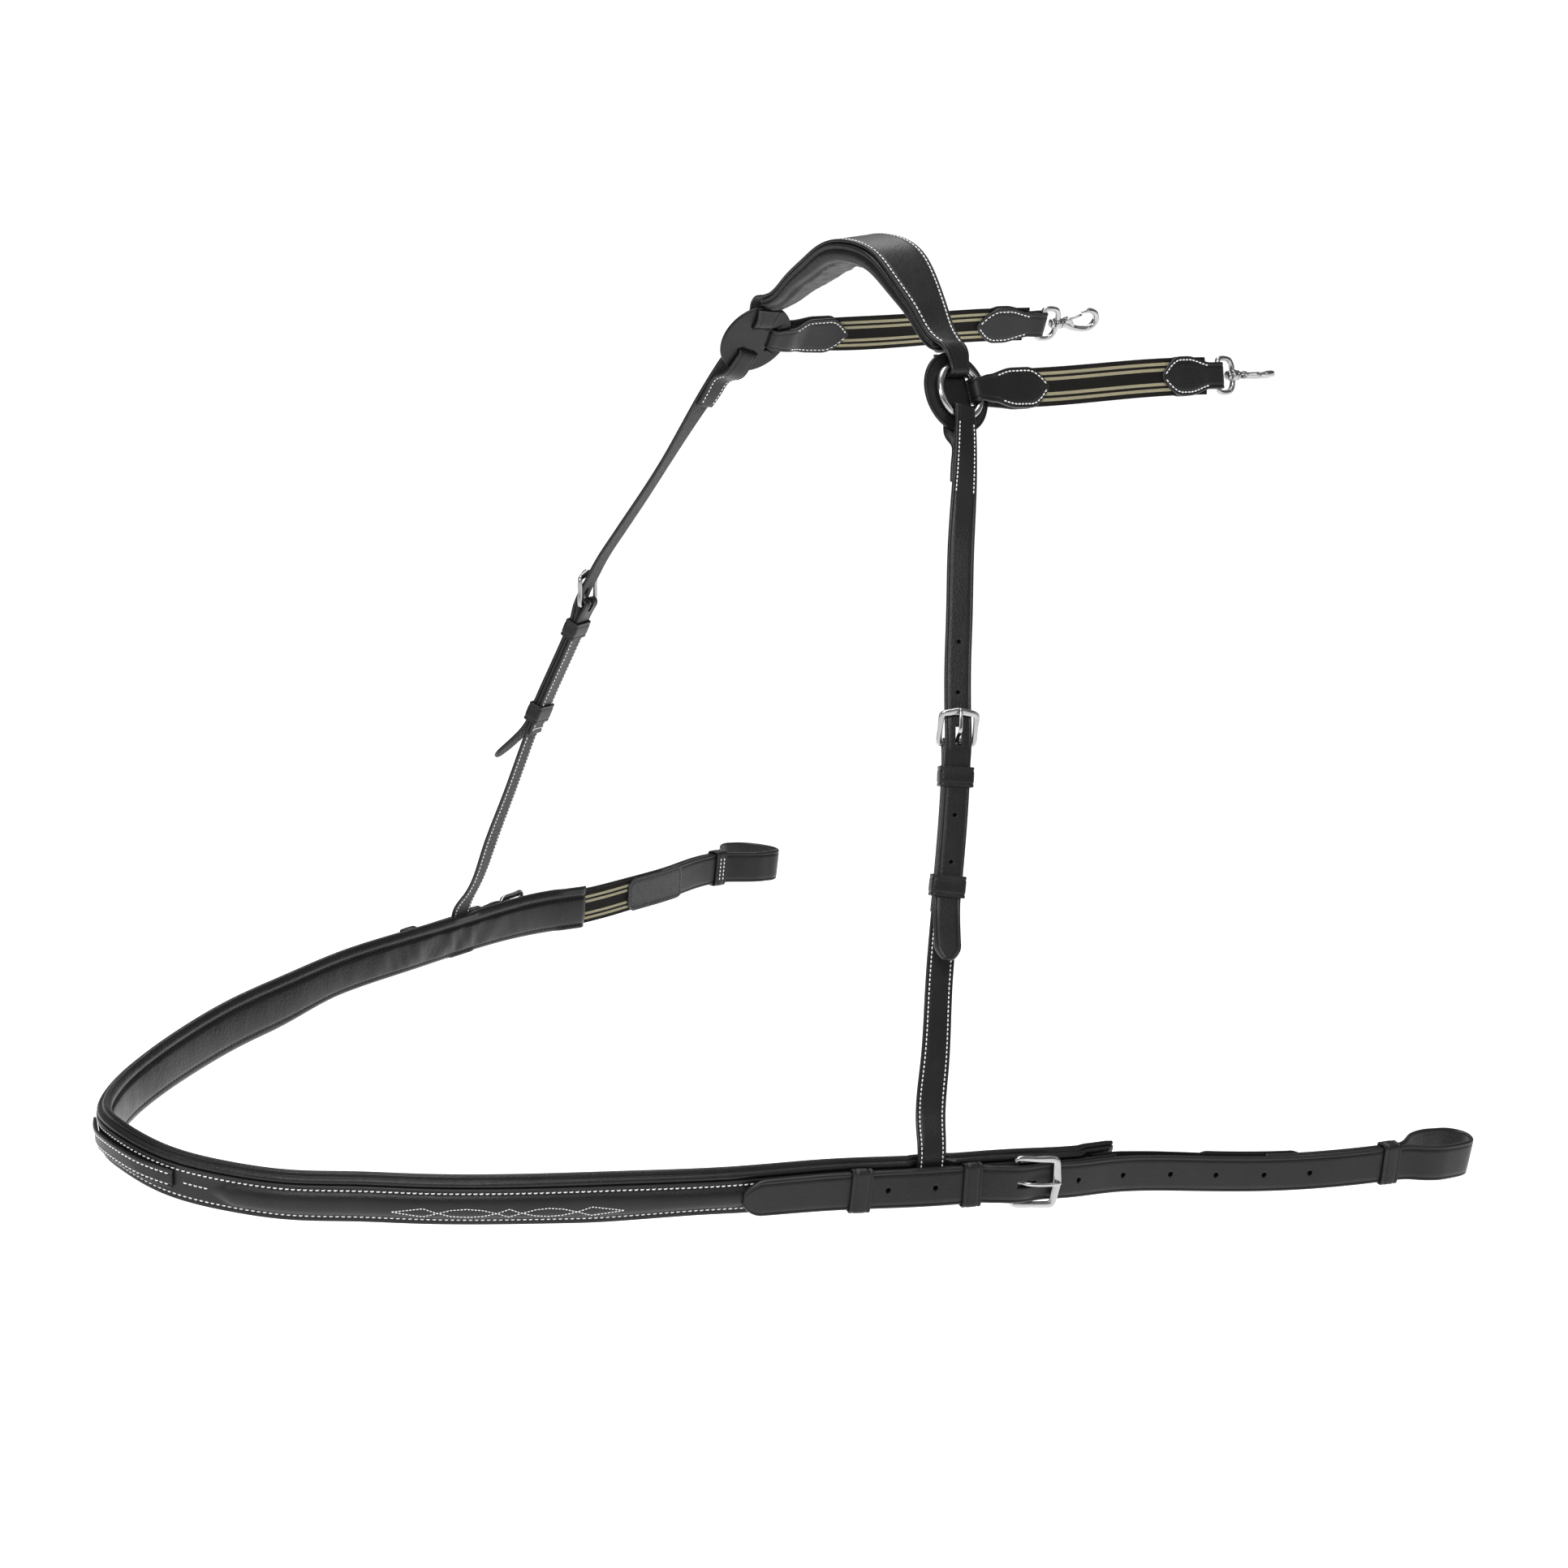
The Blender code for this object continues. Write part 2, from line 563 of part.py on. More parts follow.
def build_girth_side(side, sgn, tail):
    g = girth_ribbon(tail)
    s_bar = g.s_at_y(GIRTH_BAR_Y)
    s_tip = g.s_at_y(BILLET_TIP_Y)
    s_kf = g.s_at_y(KEEPER_FRONT_Y)
    s_end = BAND_HALF
    s_tab0, s_tab1 = g.s_at_y(TAB_START_Y), g.s_at_y(TAB_END_Y)
    s_k = g.s_at_y(GIRTH_KEEPER_Y)
    s_kr = s_bar - 31.0
    low = BAND_LEATHER + 0.3 + GAP          # first free level over the leather
    kt = 1.4                                # keeper leather
    lie = low + kt + GAP + BILLET_THICK / 2
    n_bar = low + 1.2 + GAP + 1.5           # chape, gap, bar radius
    over = n_bar + 1.5 + GAP + 1.2 + GAP + BILLET_THICK / 2
    lean, inner, reach = GIRTH_LOOP_LEAN[side]
    out, back = 6.6, 2.6                    # the billet's two layers past the band

    # billet: point, keepers, buckle, girth loop, back to the tab
    route = [(s_tip, lie), (s_tip + 4, lie), (s_tip + 9, lie), (s_tip + 16, lie), (s_kf - 20, lie),
             (s_kf, lie), (s_kf + 25, lie), (s_kr - 10, lie), (s_kr, lie), (s_kr + 7.5, lie),
             (s_bar - 17, lie + 1.9), (s_bar - 11, over - 1.6), (s_bar - 5, over - 0.2), (s_bar, over),
             (s_bar + 5, over - 0.5), (s_bar + 13, lie + 2.0), (s_bar + 21, lie + 0.3), (s_bar + 27, lie),
             (s_bar + 33, lie), (s_bar + 55, lie), (s_end + 30, out + 0.5), (s_tab1, out),
             (s_k - 8, out), (s_k, out), (s_k + 8, out + 0.2), (s_k + 16, out + 2.6 + lean * 0.3),
             (s_k + 25, out + 8.0 + lean * 0.75), (s_k + 37, out + 11.5 + lean),
             (s_k + 49 + reach * 0.6, out + 10 + lean), (s_k + 60 + reach, out + 5.5 + lean * 0.8),
             (s_k + 66 + reach, out - 1 + lean * 0.5 + inner * 0.4),
             (s_k + 67 + reach, out - 6.5 + inner), (s_k + 63.5 + reach, out - 12 + inner),
             (s_k + 56 + reach, out - 15.5 + inner), (s_k + 42 + reach * 0.6, out - 16 + inner),
             (s_k + 28, out - 12.5 + inner * 0.8), (s_k + 17, out - 7 + inner * 0.2),
             (s_k + 9, back - 0.1), (s_k, back), (s_k - 8, back),
             (s_k - 30, back), (s_tab1 - 26, back)]
    path = easy(route)
    widths = pointed(path, BILLET_WIDTH, (True, False), 13, 6)
    billet = strap("girth_billet_" + side, g, path, widths, BILLET_THICK, "leather", sgn)
    cut(billet, "slot_girth_billet_" + side,
        block(g, s_bar - 1.0, s_bar + 13.5, -2.0, 2.0, over - 7, over + 5, sgn))

    keeper("band_keeper_front_" + side, g, s_kf, 14, BILLET_WIDTH / 2 + 0.6,
           lie - BILLET_THICK / 2 - GAP, lie + BILLET_THICK / 2 + 0.6, sgn)
    keeper("band_keeper_rear_" + side, g, s_kr, 13, BILLET_WIDTH / 2 + 0.6,
           lie - BILLET_THICK / 2 - GAP, lie + BILLET_THICK / 2 + 0.6, sgn)
    keeper("girth_loop_keeper_" + side, g, s_k, 13, BILLET_WIDTH / 2 + 0.4,
           back - BILLET_THICK / 2 - 0.5, out + BILLET_THICK / 2 + 0.5, sgn)

    # chape: folded round the hinge bar, lying on the band
    r = 1.5 + GAP + 0.6
    bottom, top = low + 0.6, low + 1.2 + GAP + 0.6
    path = [(s_bar - 19, bottom), (s_bar - 10, bottom), (s_bar - 4, bottom), (s_bar, n_bar - r)]
    path += arc(s_bar, n_bar, r, -60, 90, 6)
    path += [(s_bar - 4, n_bar + r - 0.8), (s_bar - 9, top + 0.5), (s_bar - 13, top), (s_bar - 19, top)]
    chape = strap("band_buckle_chape_" + side, g, path, 22, 1.2, "leather", sgn)
    cut(chape, "slot_band_chape_" + side,
        block(g, s_bar - 4.6, s_bar + 8, -2.2, 2.2, low - 3, n_bar + 9, sgn))
    buckle("band", "band", g, s_bar, n_bar, lie + BILLET_THICK / 2 + GAP + 2.0, +1, sgn)
    for piece in ("frame", "tongue"):
        bpy.data.objects["band_buckle_" + piece].name = "band_buckle_" + piece + "_" + side

    # elastic from inside the band's end to the tab, and the tab itself
    route = [(s_end - 18, -1.4), (s_end - 9, -1.4), (s_end, -1.35), (s_end + 12, -0.4), (s_tab0, 1.4),
             (s_tab0 + 20, 1.9), (s_tab1 - 27, 1.9)]
    strap("band_elastic_" + side, g, easy(route), 25.0, 1.8, "elastic", sgn)
    path = [(s_tab0, -0.6), (s_tab0 + 6, -0.5), (s_tab0 + 20, -0.35), (s_tab0 + 36, -0.35),
            (s_tab1 - 8, -0.35), (s_tab1, -0.35)]
    strap("elastic_tab_" + side, g, path, [19, 24, 26, 26, 25, 21], 1.6, "leather", sgn)
    return g


def build_neck_side(side, sgn, neck):
    bar = NECK_BAR_S
    lay = NECK_THICK / 2 + 0.15
    r = BUCKLES["neck"]["bar_r"] + GAP + NECK_THICK / 2
    # lower strap: up from the band, round the hinge bar, down the back
    path = [(NECK_FOOT_S, NECK_FOOT_N)]
    path += [tuple(q) for q in easy([(NECK_FOOT_S, NECK_FOOT_N), (NECK_FOOT_S - 10, NECK_FOOT_N),
                                      (NECK_FOOT_S - 20, NECK_FOOT_N), (NECK_FOOT_S - 30, NECK_FOOT_N + 0.1),
                                      (NECK_FOOT_S - 45, 0.4), (NECK_FOOT_S - 90, lay),
                                      (bar + 40, lay), (bar + 14, lay)])][1:]
    path += [(bar + 8, lay + 0.5), (bar + 4, r - 0.5)]
    path += arc(bar, 0, r, 90, 270, 9)
    path += [(bar + 4, -r + 0.5), (bar + 8, -lay - 0.5), (bar + 14, -lay)]
    path += [(bar + 14 + 94 * k / 5, -lay) for k in range(1, 6)]
    q = np.array(path)
    widths = [NECK_WIDTH - (NECK_WIDTH - 18.0) * mix(0, 1, (NECK_FOOT_S - 60 - s) / 80) for s in q[:, 0]]
    low = strap("neck_strap_lower_" + side, neck, path, widths, NECK_THICK, "leather", sgn)
    cut(low, "slot_neck_lower_" + side, block(neck, bar - 8, bar + 5.2, -2.2, 2.2, -8, 9, sgn))

    # billet: point, over the lower strap, through the buckle, round the ring
    lie = lay + NECK_THICK / 2 + GAP + NECK_BILLET_THICK / 2
    over = r + NECK_THICK / 2 + GAP + NECK_BILLET_THICK / 2
    front = RING_WIRE + 0.4 + NECK_BILLET_THICK / 2
    rear = GUARD_BACK - 0.4 - NECK_BILLET_THICK / 2
    seat = FOLD_REACH - NECK_BILLET_THICK / 2
    path = [tuple(q) for q in easy([(NECK_TIP_S, lie + 16.5), (NECK_TIP_S - 4, lie + 14.6), (NECK_TIP_S - 9, lie + 12.0),
                                     (NECK_TIP_S - 20, lie + 6.3), (NECK_TIP_S - 30, lie + 1.9),
                                     (NECK_TIP_S - 38, lie), (bar + 60, lie), (bar + 28, lie), (bar + 14, lie),
                                     (bar + 8, lie + 0.8), (bar + 4, over - 0.15), (bar, over), (bar - 5, over),
                                     (bar - 12, over - 0.3), (bar - 19, over - 0.9), (bar - 34, lie + 0.6),
                                     (bar - 60, lie), (90, lie), (50, lie), (30, front + 0.1), (20, front)],
                                     step=25)]
    path += fold(seat, front, rear, 18)
    path += [(28, rear), (34, rear + 3.2), (40, lie - NECK_BILLET_THICK - 0.45),
             (50, lie - NECK_BILLET_THICK - GAP), (64, lie - NECK_BILLET_THICK - GAP)]
    q = np.array(path)
    widths = []
    for i, s in enumerate(q[:, 0]):
        w = NECK_BILLET_WIDTH - (NECK_BILLET_WIDTH - 16.0) * mix(1, 0, (s - 14) / 16)
        widths.append(w)
    tip = pointed(path, NECK_BILLET_WIDTH, (True, False), 10, 5)
    widths = [min(a, b) for a, b in zip(widths, tip)]
    billet = strap("neck_billet_" + side, neck, path, widths, NECK_BILLET_THICK, "leather", sgn)
    cut(billet, "slot_neck_billet_" + side, block(neck, bar - 10.5, bar + 1.2, -2.0, 2.0, over - 6, over + 5, sgn))

    for k, s in zip(("upper", "lower"), NECK_KEEPERS_S):
        keeper("neck_keeper_" + k + "_" + side, neck, s, 13 if k == "upper" else 14, 9.9,
               -lay - NECK_THICK / 2 - GAP, lie + NECK_BILLET_THICK / 2 + GAP, sgn)
    buckle("neck", "neck", neck, bar, 0.0, over - 0.9 + NECK_BILLET_THICK / 2 + GAP + 1.7, -1, sgn)
    for piece in ("frame", "tongue"):
        bpy.data.objects["neck_buckle_" + piece].name = "neck_buckle_" + piece + "_" + side


def fold(seat, front, rear, s_out):
    """Turn of a strap round the ring wire and the guard's rim."""
    m, h = (front + rear) / 2, (front - rear) / 2
    r = 2.6
    pts = [(seat + r + 1.5, front)]
    pts += arc(seat + r, front - r, r, 90, 180, 4)
    pts += arc(seat + r, rear + r, r, 180, 270, 4)
    pts += [(s_out, rear)]
    return pts


def build_ring(side, sgn):
    c = np.array(RING_CENTRE)
    rr = RING_OUTER - RING_WIRE
    pts = [c + rr * (RING_H * math.cos(a) + RING_V * math.sin(a))
           for a in np.linspace(0, 2 * math.pi, 32, endpoint=False)]
    add_object("ring_" + side, *wire(pts, RING_WIRE, RING_N, 8, closed=True), "steel", sgn, origin=c)


def build_guard(side, sgn, directions):
    c = np.array(RING_CENTRE)
    rings = []
    for n in (GUARD_FRONT, GUARD_BACK):
        rings.append([c + RING_N * n + GUARD_RADIUS * (RING_H * math.cos(a) + RING_V * math.sin(a))
                      for a in np.linspace(0, 2 * math.pi, 36, endpoint=False)])
    guard = add_object("ring_guard_" + side, *loft(rings), "leather", sgn)
    for label, (d, half, r0, r1) in directions.items():
        e = np.cross(RING_N, d)
        corners = []
        for n in (GUARD_FRONT + 2, GUARD_BACK - 2):
            for x, y in ((r0, -half), (r1, -half), (r1, half), (r0, half)):
                corners.append((c + RING_N * n + d * x + e * y) * (sgn, 1, 1))
        cut(guard, "slot_%s_%s" % (label, side), corners)


def build_pad(pad):
    mid = pad.length / 2
    seat = FOLD_REACH - PAD_LEATHER / 2
    front = RING_WIRE + 0.4 + PAD_LEATHER / 2
    rear = GUARD_BACK - 0.9 - PAD_LEATHER / 2
    lie = 0.15 + PAD_LEATHER / 2
    half = [(0, lie)]                       # distance from the ring centre, level
    half = [(mid - k * (mid - 34) / 14, lie) for k in range(15)]
    half += [(29, lie + 1.2), (24, front - 0.3), (18.5, front)]
    half += fold(seat, front, rear, 18)
    half += [(24, rear), (28.5, rear)]
    half = half[::-1]
    near = [(pad.length - d, n) for d, n in half[::-1]]
    far = [(d, n) for d, n in half]
    path = far + near[1:]
    widths = []
    for s, n in path:
        d = min(s, pad.length - s)
        w = mix(16.0, 21.0, (d - 15) / 14)
        w = w + (PAD_WIDTH_CREST - 5 - 21.0) * mix(0, 1, (d - 26) / (mid - 55))
        widths.append(w)
    strap("wither_pad_outer", pad, path, widths, PAD_LEATHER, "leather", 1)
    rings = []
    for s in np.linspace(33.5, pad.length - 33.5, 31):
        d = min(s, pad.length - s)
        u = mix(0, 1, (d - 30) / (mid - 50))
        w = (PAD_WIDTH_TAB + (PAD_WIDTH_CREST - PAD_WIDTH_TAB) * u) / 2
        t = PAD_THICK_TAB + (PAD_THICK_CREST - PAD_THICK_TAB) * u
        sec = [(-w + 1.5, -0.15), (w - 1.5, -0.15), (w, -2.5), (w - 3.5, -t + 2), (w * 0.35, -t),
               (-w * 0.35, -t), (-w + 3.5, -t + 2), (-w, -2.5)]
        rings.append([pad.at(s, a, b) for a, b in sec])
    add_object("wither_pad_lining", *loft(rings), "lining")


def build_saddle_side(side, sgn, rib):
    half_e = ELASTIC_THICK / 2 + GAP + TAB_THICK / 2
    front = RING_WIRE + 0.4 + TAB_THICK / 2
    rear = GUARD_BACK - 0.4 - TAB_THICK / 2
    seat = FOLD_REACH - TAB_THICK / 2
    end = SADDLE_TAB_END
    head = [(end - k * (end - 42) / 9, half_e) for k in range(10)] + [(34, half_e + 0.3), (26, front - 0.2), (19, front)]
    tailp = [(29, rear), (36, rear + 2.6), (42, -half_e - 0.2)] + [(42 + k * (end - 42) / 9, -half_e) for k in range(1, 10)]
    path = head + fold(seat, front, rear, 18) + tailp
    widths = []
    for s, n in path:
        w = mix(16.0, 19.0, (s - 15) / 10) + 8.5 * mix(0, 1, (s - 24) / 24)
        widths.append(min(w, 4.0 + 23.5 * math.sin(min((end - s) / 17.0, 1.0) * math.pi / 2)))
    strap("saddle_tab_front_" + side, rib, path, widths, TAB_THICK, "leather", sgn)

    strap("saddle_elastic_" + side, rib, [(s, 0.0) for s in np.linspace(50, SNAP_BAR_S - 14, 14)],
          ELASTIC_WIDTH, ELASTIC_THICK, "elastic", sgn)

    r = 1.6 + 0.5 + TAB_THICK / 2
    start = SADDLE_REAR_START
    bar = SNAP_BAR_S
    head = [(start + k * (bar - 11 - start) / 9, half_e) for k in range(10)] + [(bar - 6, r - 0.5)]
    path = head + arc(bar, 0, r, 90, -90, 8) + [(s, -n) for s, n in head[::-1]]
    widths = []
    for s, n in path:
        w = 27.5 - 9.0 * mix(0, 1, (s - (bar - 34)) / 24)
        widths.append(min(w, 4.0 + 23.5 * math.sin(min((s - start) / 17.0, 1.0) * math.pi / 2)))
    strap("saddle_tab_rear_" + side, rib, path, widths, TAB_THICK, "leather", sgn)
    build_snap(side, sgn, rib)


def build_snap(side, sgn, rib):
    """Swivel snap: rectangular eye with a bored boss, hook on a riveted shank, gate."""
    p, t, w, n = rib.frame(SNAP_BAR_S)
    turn = math.radians(SNAP_TURN[side])
    hw = w * math.cos(turn) + n * math.sin(turn)        # plane the hook bends in
    hn = np.cross(t, hw)

    def eye(d, a, b=0.0):
        return p + t * d + w * a + n * b

    def hook(d, a, b=0.0):
        return p + t * d + hw * a + hn * b

    pts = [eye(0, -11.4), (eye(0, -5)), eye(0, 5), eye(0, 11.4), eye(2.0, 11.7), eye(9.5, 11.7), eye(12.6, 9.8),
           eye(14.2, 6.0), eye(14.8, 2.5), eye(14.8, -2.5), eye(14.2, -6.0), eye(12.6, -9.8), eye(9.5, -11.7), eye(2.0, -11.7)]
    body = add_object("snap_eye_" + side, *wire(pts, 1.6, n, 8, closed=True), "steel", sgn, origin=p)

    def turned(profile, sides=12):
        rings = []
        for d, r in profile:
            rings.append([p + t * d + r * (w * math.cos(2 * math.pi * (j + 0.5) / sides)
                                           + n * math.sin(2 * math.pi * (j + 0.5) / sides)) for j in range(sides)])
        return loft(rings)

    def tool(name, verts, faces):
        mesh = bpy.data.meshes.new(name)
        v = (np.array(verts) * (sgn, 1, 1) - p * (sgn, 1, 1)) * MM
        mesh.from_pydata([tuple(q) for q in v], [], faces)
        bm = bmesh.new()
        bm.from_mesh(mesh)
        bmesh.ops.recalc_face_normals(bm, faces=bm.faces)
        bm.to_mesh(mesh)
        bm.free()
        return mesh

    add_boolean(body, tool("boss_" + side, *turned([(12.9, 4.0), (18.0, 4.0)])), "boss_" + side, "UNION")
    add_boolean(body, tool("bore_" + side, *turned([(9, 2.25), (24, 2.25)])), "bore_" + side, "DIFFERENCE")
    for name in ("boss_", "bore_"):
        bpy.data.objects[name + side].location = tuple(p * (sgn, 1, 1) * MM)

    # hook body: rivet head, shank, collar, then the bent hook
    profile = [(9.2, 2.2), (9.6, 3.3), (11.6, 3.3), (12.5, 1.9), (18.4, 1.9), (18.4, 3.6), (20.6, 3.6), (22.5, 2.6)]
    verts, faces = turned(profile, 10)
    shank = add_object("snap_hook_" + side, verts, faces, "steel", sgn, origin=p)
    route = [(21.0, 0.0), (26, -2.0), (33, -3.9), (41, -4.6), (47.5, -3.0), (51, 1.6), (50.2, 6.4), (45.5, 9.6),
             (40, 10.2), (36, 9.0)]
    curve = spline(route, 20)
    radii = [2.1 - 0.5 * k / 19 for k in range(20)]
    v2, f2 = wire([hook(a, b) for a, b in curve], radii, hn, 8, flat=1.2)
    add_boolean(shank, tool("bend_" + side, v2, f2), "bend_" + side, "UNION")
    bpy.data.objects["bend_" + side].location = tuple(p * (sgn, 1, 1) * MM)
    # gate: leaf from beside the collar to just under the hook's point
    pivot = hook(GATE_PIVOT[0], GATE_PIVOT[1])
    line = [(23.6, 2.7), (27, 3.8), (31.5, 5.3), (36.2, 6.7)]
    verts, faces = wire([hook(a, b) for a, b in line], [0.9, 1.1, 1.1, 0.9], hn, 6, flat=1.6)
    add_object("snap_gate_" + side, verts, faces, "steel", sgn, origin=pivot)


SNAP_TURN = {"l": 90.0, "r": 0.0}       # how far each hook has swivelled
GATE_PIVOT = (24.0, 2.9)
NECK_FOOT_S = 0.0
NECK_FOOT_N = 0.0


def main():
    global BAND_HALF, BAND_NECK_S, NECK_FOOT_S, NECK_FOOT_N
    clear_scene()
    band = band_ribbon()
    BAND_HALF = band.length / 2
    BAND_NECK_S = abs(band.s_at_y(NECK_FOOT_Y, BAND_HALF) - BAND_HALF)
    build_band(band)
    build_front_loop(band)
    neck = neck_ribbon(band)
    # the neck strap's foot lies in the band, in the relief of the lining
    NECK_FOOT_S = neck.length
    NECK_FOOT_N = 0.0
    pad = pad_ribbon()
    build_pad(pad)
    for side, sgn, tail, route in (("l", 1, GIRTH_TAIL_L, SADDLE_ROUTE_L), ("r", -1, GIRTH_TAIL_R, SADDLE_ROUTE_R)):
        saddle = saddle_ribbon(route)
        build_ring(side, sgn)
        build_guard(side, sgn, {
            "pad": (-pad.frame(pad.length)[1], 8.7, 10.0, 13.4),
            "neck": (neck.frame(0)[1], 8.7, 9.8, 13.4),
            "saddle": (saddle.frame(0)[1], 9.6, 9.8, 14.6)})
        build_neck_side(side, sgn, neck)
        build_saddle_side(side, sgn, saddle)
        build_girth_side(side, sgn, tail)


main()
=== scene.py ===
"""Padded breast collar for a riding horse: the detailed visual model.

Every piece follows the same ribbons (routes with a width and an outward
direction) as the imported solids, and rides on their bodies.  Lengths in the
code are millimetres until a mesh is made.
"""

import bpy
import bmesh
import math
import numpy as np
from mathutils import Matrix, Vector


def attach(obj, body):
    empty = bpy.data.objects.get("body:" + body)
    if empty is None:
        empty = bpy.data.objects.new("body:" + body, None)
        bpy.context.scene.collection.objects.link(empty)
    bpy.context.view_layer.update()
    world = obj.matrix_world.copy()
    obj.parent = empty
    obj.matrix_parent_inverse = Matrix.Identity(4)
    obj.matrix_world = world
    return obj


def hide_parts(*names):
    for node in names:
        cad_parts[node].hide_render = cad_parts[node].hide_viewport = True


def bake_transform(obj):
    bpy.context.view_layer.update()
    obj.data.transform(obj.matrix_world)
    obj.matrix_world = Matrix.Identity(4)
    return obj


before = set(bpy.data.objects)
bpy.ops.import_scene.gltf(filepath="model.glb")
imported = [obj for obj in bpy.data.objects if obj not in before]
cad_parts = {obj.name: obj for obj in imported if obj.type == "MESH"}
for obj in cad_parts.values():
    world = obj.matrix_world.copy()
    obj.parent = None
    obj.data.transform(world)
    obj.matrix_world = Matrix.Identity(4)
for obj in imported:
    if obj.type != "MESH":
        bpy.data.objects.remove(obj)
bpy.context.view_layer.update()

MM = 0.001
GAP = 0.3                   # clearance between neighbouring pieces

# ---------------------------------------------------------------- dimensions
# breast band: half plan and height of its seam surface, chest centre to rear
BAND_ROUTE = [(0, -595.5, -488), (40, -587, -492), (75, -563.5, -497),
              (104, -534.5, -500.5), (125.5, -505, -502), (146, -475, -504.5),
              (181, -415, -509), (209, -355, -514), (235, -295, -519),
              (254, -235, -524.5), (275, -175, -531.5), (292, -115, -538),
              (301, -75, -544), (304.5, -40, -549)]
BAND_TILT = [6, 6, 7, 8, 9, 10, 11, 9, 6, 1, -5, -2, 2, 2]   # degrees, top edge out
BAND_WIDTH_FRONT, BAND_WIDTH_REAR = 33.0, 37.5      # padded width
BAND_RIM = 1.6              # lining stands out past the leather, each edge
BAND_LEATHER = 2.6
RIDGE_HEIGHT, RIDGE_HALF = 5.2, 8.0
RIDGE_START, RIDGE_END = 150.0, 365.0               # along the band
BAND_PAD = 8.0              # padding thickness
FRONT_LOOP_HALF, FRONT_LOOP_LIFT = 50.0, 1.6        # chest loop, half length and play

# girth side: run of the billet and the band elastic past the band's end
GIRTH_TAIL_L = [(322, 22, -559.5), (344, 80, -567.5), (366, 130, -569),
                (376, 178, -573.5), (381, 222, -581)]
GIRTH_TAIL_R = [(322, 22, -558), (344, 80, -567), (366, 130, -575),
                (376, 178, -584), (381, 222, -592)]
BILLET_WIDTH, BILLET_THICK = 25.0, 3.2
BILLET_TIP_Y = -292.0       # where the point of the billet lies on the band
GIRTH_BAR_Y = -117.0        # hinge bar of the girth buckle
KEEPER_FRONT_Y = -218.0     # forward keeper on the band
GIRTH_KEEPER_Y = 146.0      # keeper in front of the girth loop
GIRTH_LOOP_LEAN = {"l": (-4.0, -4.0, 5.0), "r": (13.0, 3.0, 0.0)}  # outer bow, inner bow, length
TAB_START_Y, TAB_END_Y = 16.0, 88.0                 # leather tab, elastic to billet

# neck straps, ring down to band
NECK_ROUTE = [(112, -16, -69), (135, -35.3, -119.5), (156, -52.3, -159.5), (175, -69, -199.5),
              (194, -86, -239.5), (203, -93, -262), (211.5, -100.5, -290), (229.5, -121, -352),
              (245, -140.5, -418.5), (255.5, -151.5, -458.5), (266, -163, -496)]
NECK_FOOT_Y = -171.0        # where the strap's foot is sewn into the band
NECK_WIDTH, NECK_THICK = 19.5, 2.2
NECK_BILLET_WIDTH, NECK_BILLET_THICK = 17.6, 2.6
NECK_BAR_S = 237.0          # hinge bar, from the ring centre
NECK_TIP_S = 374.0
NECK_KEEPERS_S = (258.0, 328.0)

# ring and its leather guard
RING_CENTRE = (112.0, -16.0, -69.0)
RING_AZ, RING_EL = 7.0, 26.0                        # degrees, ring normal
RING_OUTER, RING_WIRE = 20.0, 2.4
GUARD_RADIUS = 27.5
GUARD_FRONT, GUARD_BACK = -3.0, -5.5
FOLD_REACH = 12.7           # strap folds reach this close to the ring centre

# wither bridge, crest to ring: seam surface between leather and lining
PAD_ROUTE = [(0, 0, 11.2), (27, -1, 6.6), (50, -4, -8.5), (70.5, -8, -24.5),
             (89, -11.5, -38.5), (99, -13.5, -48.5), (105.5, -15, -57.5)]
PAD_WIDTH_CREST, PAD_WIDTH_TAB = 44.0, 24.0
PAD_LEATHER = 2.4
PAD_THICK_CREST, PAD_THICK_TAB = 15.0, 9.0

# saddle straps: ring, elastic, swivel snap
SADDLE_ROUTE_L = [(112, -16, -69), (110, 5, -71), (109, 30, -74), (107, 64, -78),
                  (101, 120, -83.5), (98, 177, -88.5), (94, 236, -96)]
SADDLE_ROUTE_R = [(112, -16, -69), (110, 5, -71), (109, 30, -73), (107, 64, -77.5),
                  (101, 120, -81), (98, 177, -84.5), (94, 236, -90)]
SADDLE_TAB_END = 80.0       # point of the front tab, from the ring centre
SADDLE_REAR_START = 194.0   # point of the rear tab
ELASTIC_WIDTH, ELASTIC_THICK = 26.0, 1.6
TAB_THICK = 1.8
SNAP_BAR_S = 254.0          # bar of the snap's eye

# girth and neck buckles
BUCKLES = {
    "band": dict(bar_r=1.5, wire_r=2.0, half=15.3, free_t=27.0),
    "neck": dict(bar_r=1.4, wire_r=1.7, half=11.5, free_t=19.0),
}

LIFT = 3.8                  # raises the drawn routes to the origin under the crest


def lifted(route):
    return [(x, y, z + LIFT) for x, y, z in route]


BAND_ROUTE, GIRTH_TAIL_L, GIRTH_TAIL_R = lifted(BAND_ROUTE), lifted(GIRTH_TAIL_L), lifted(GIRTH_TAIL_R)
NECK_ROUTE, PAD_ROUTE = lifted(NECK_ROUTE), lifted(PAD_ROUTE)
SADDLE_ROUTE_L, SADDLE_ROUTE_R = lifted(SADDLE_ROUTE_L), lifted(SADDLE_ROUTE_R)
RING_CENTRE = lifted([RING_CENTRE])[0]


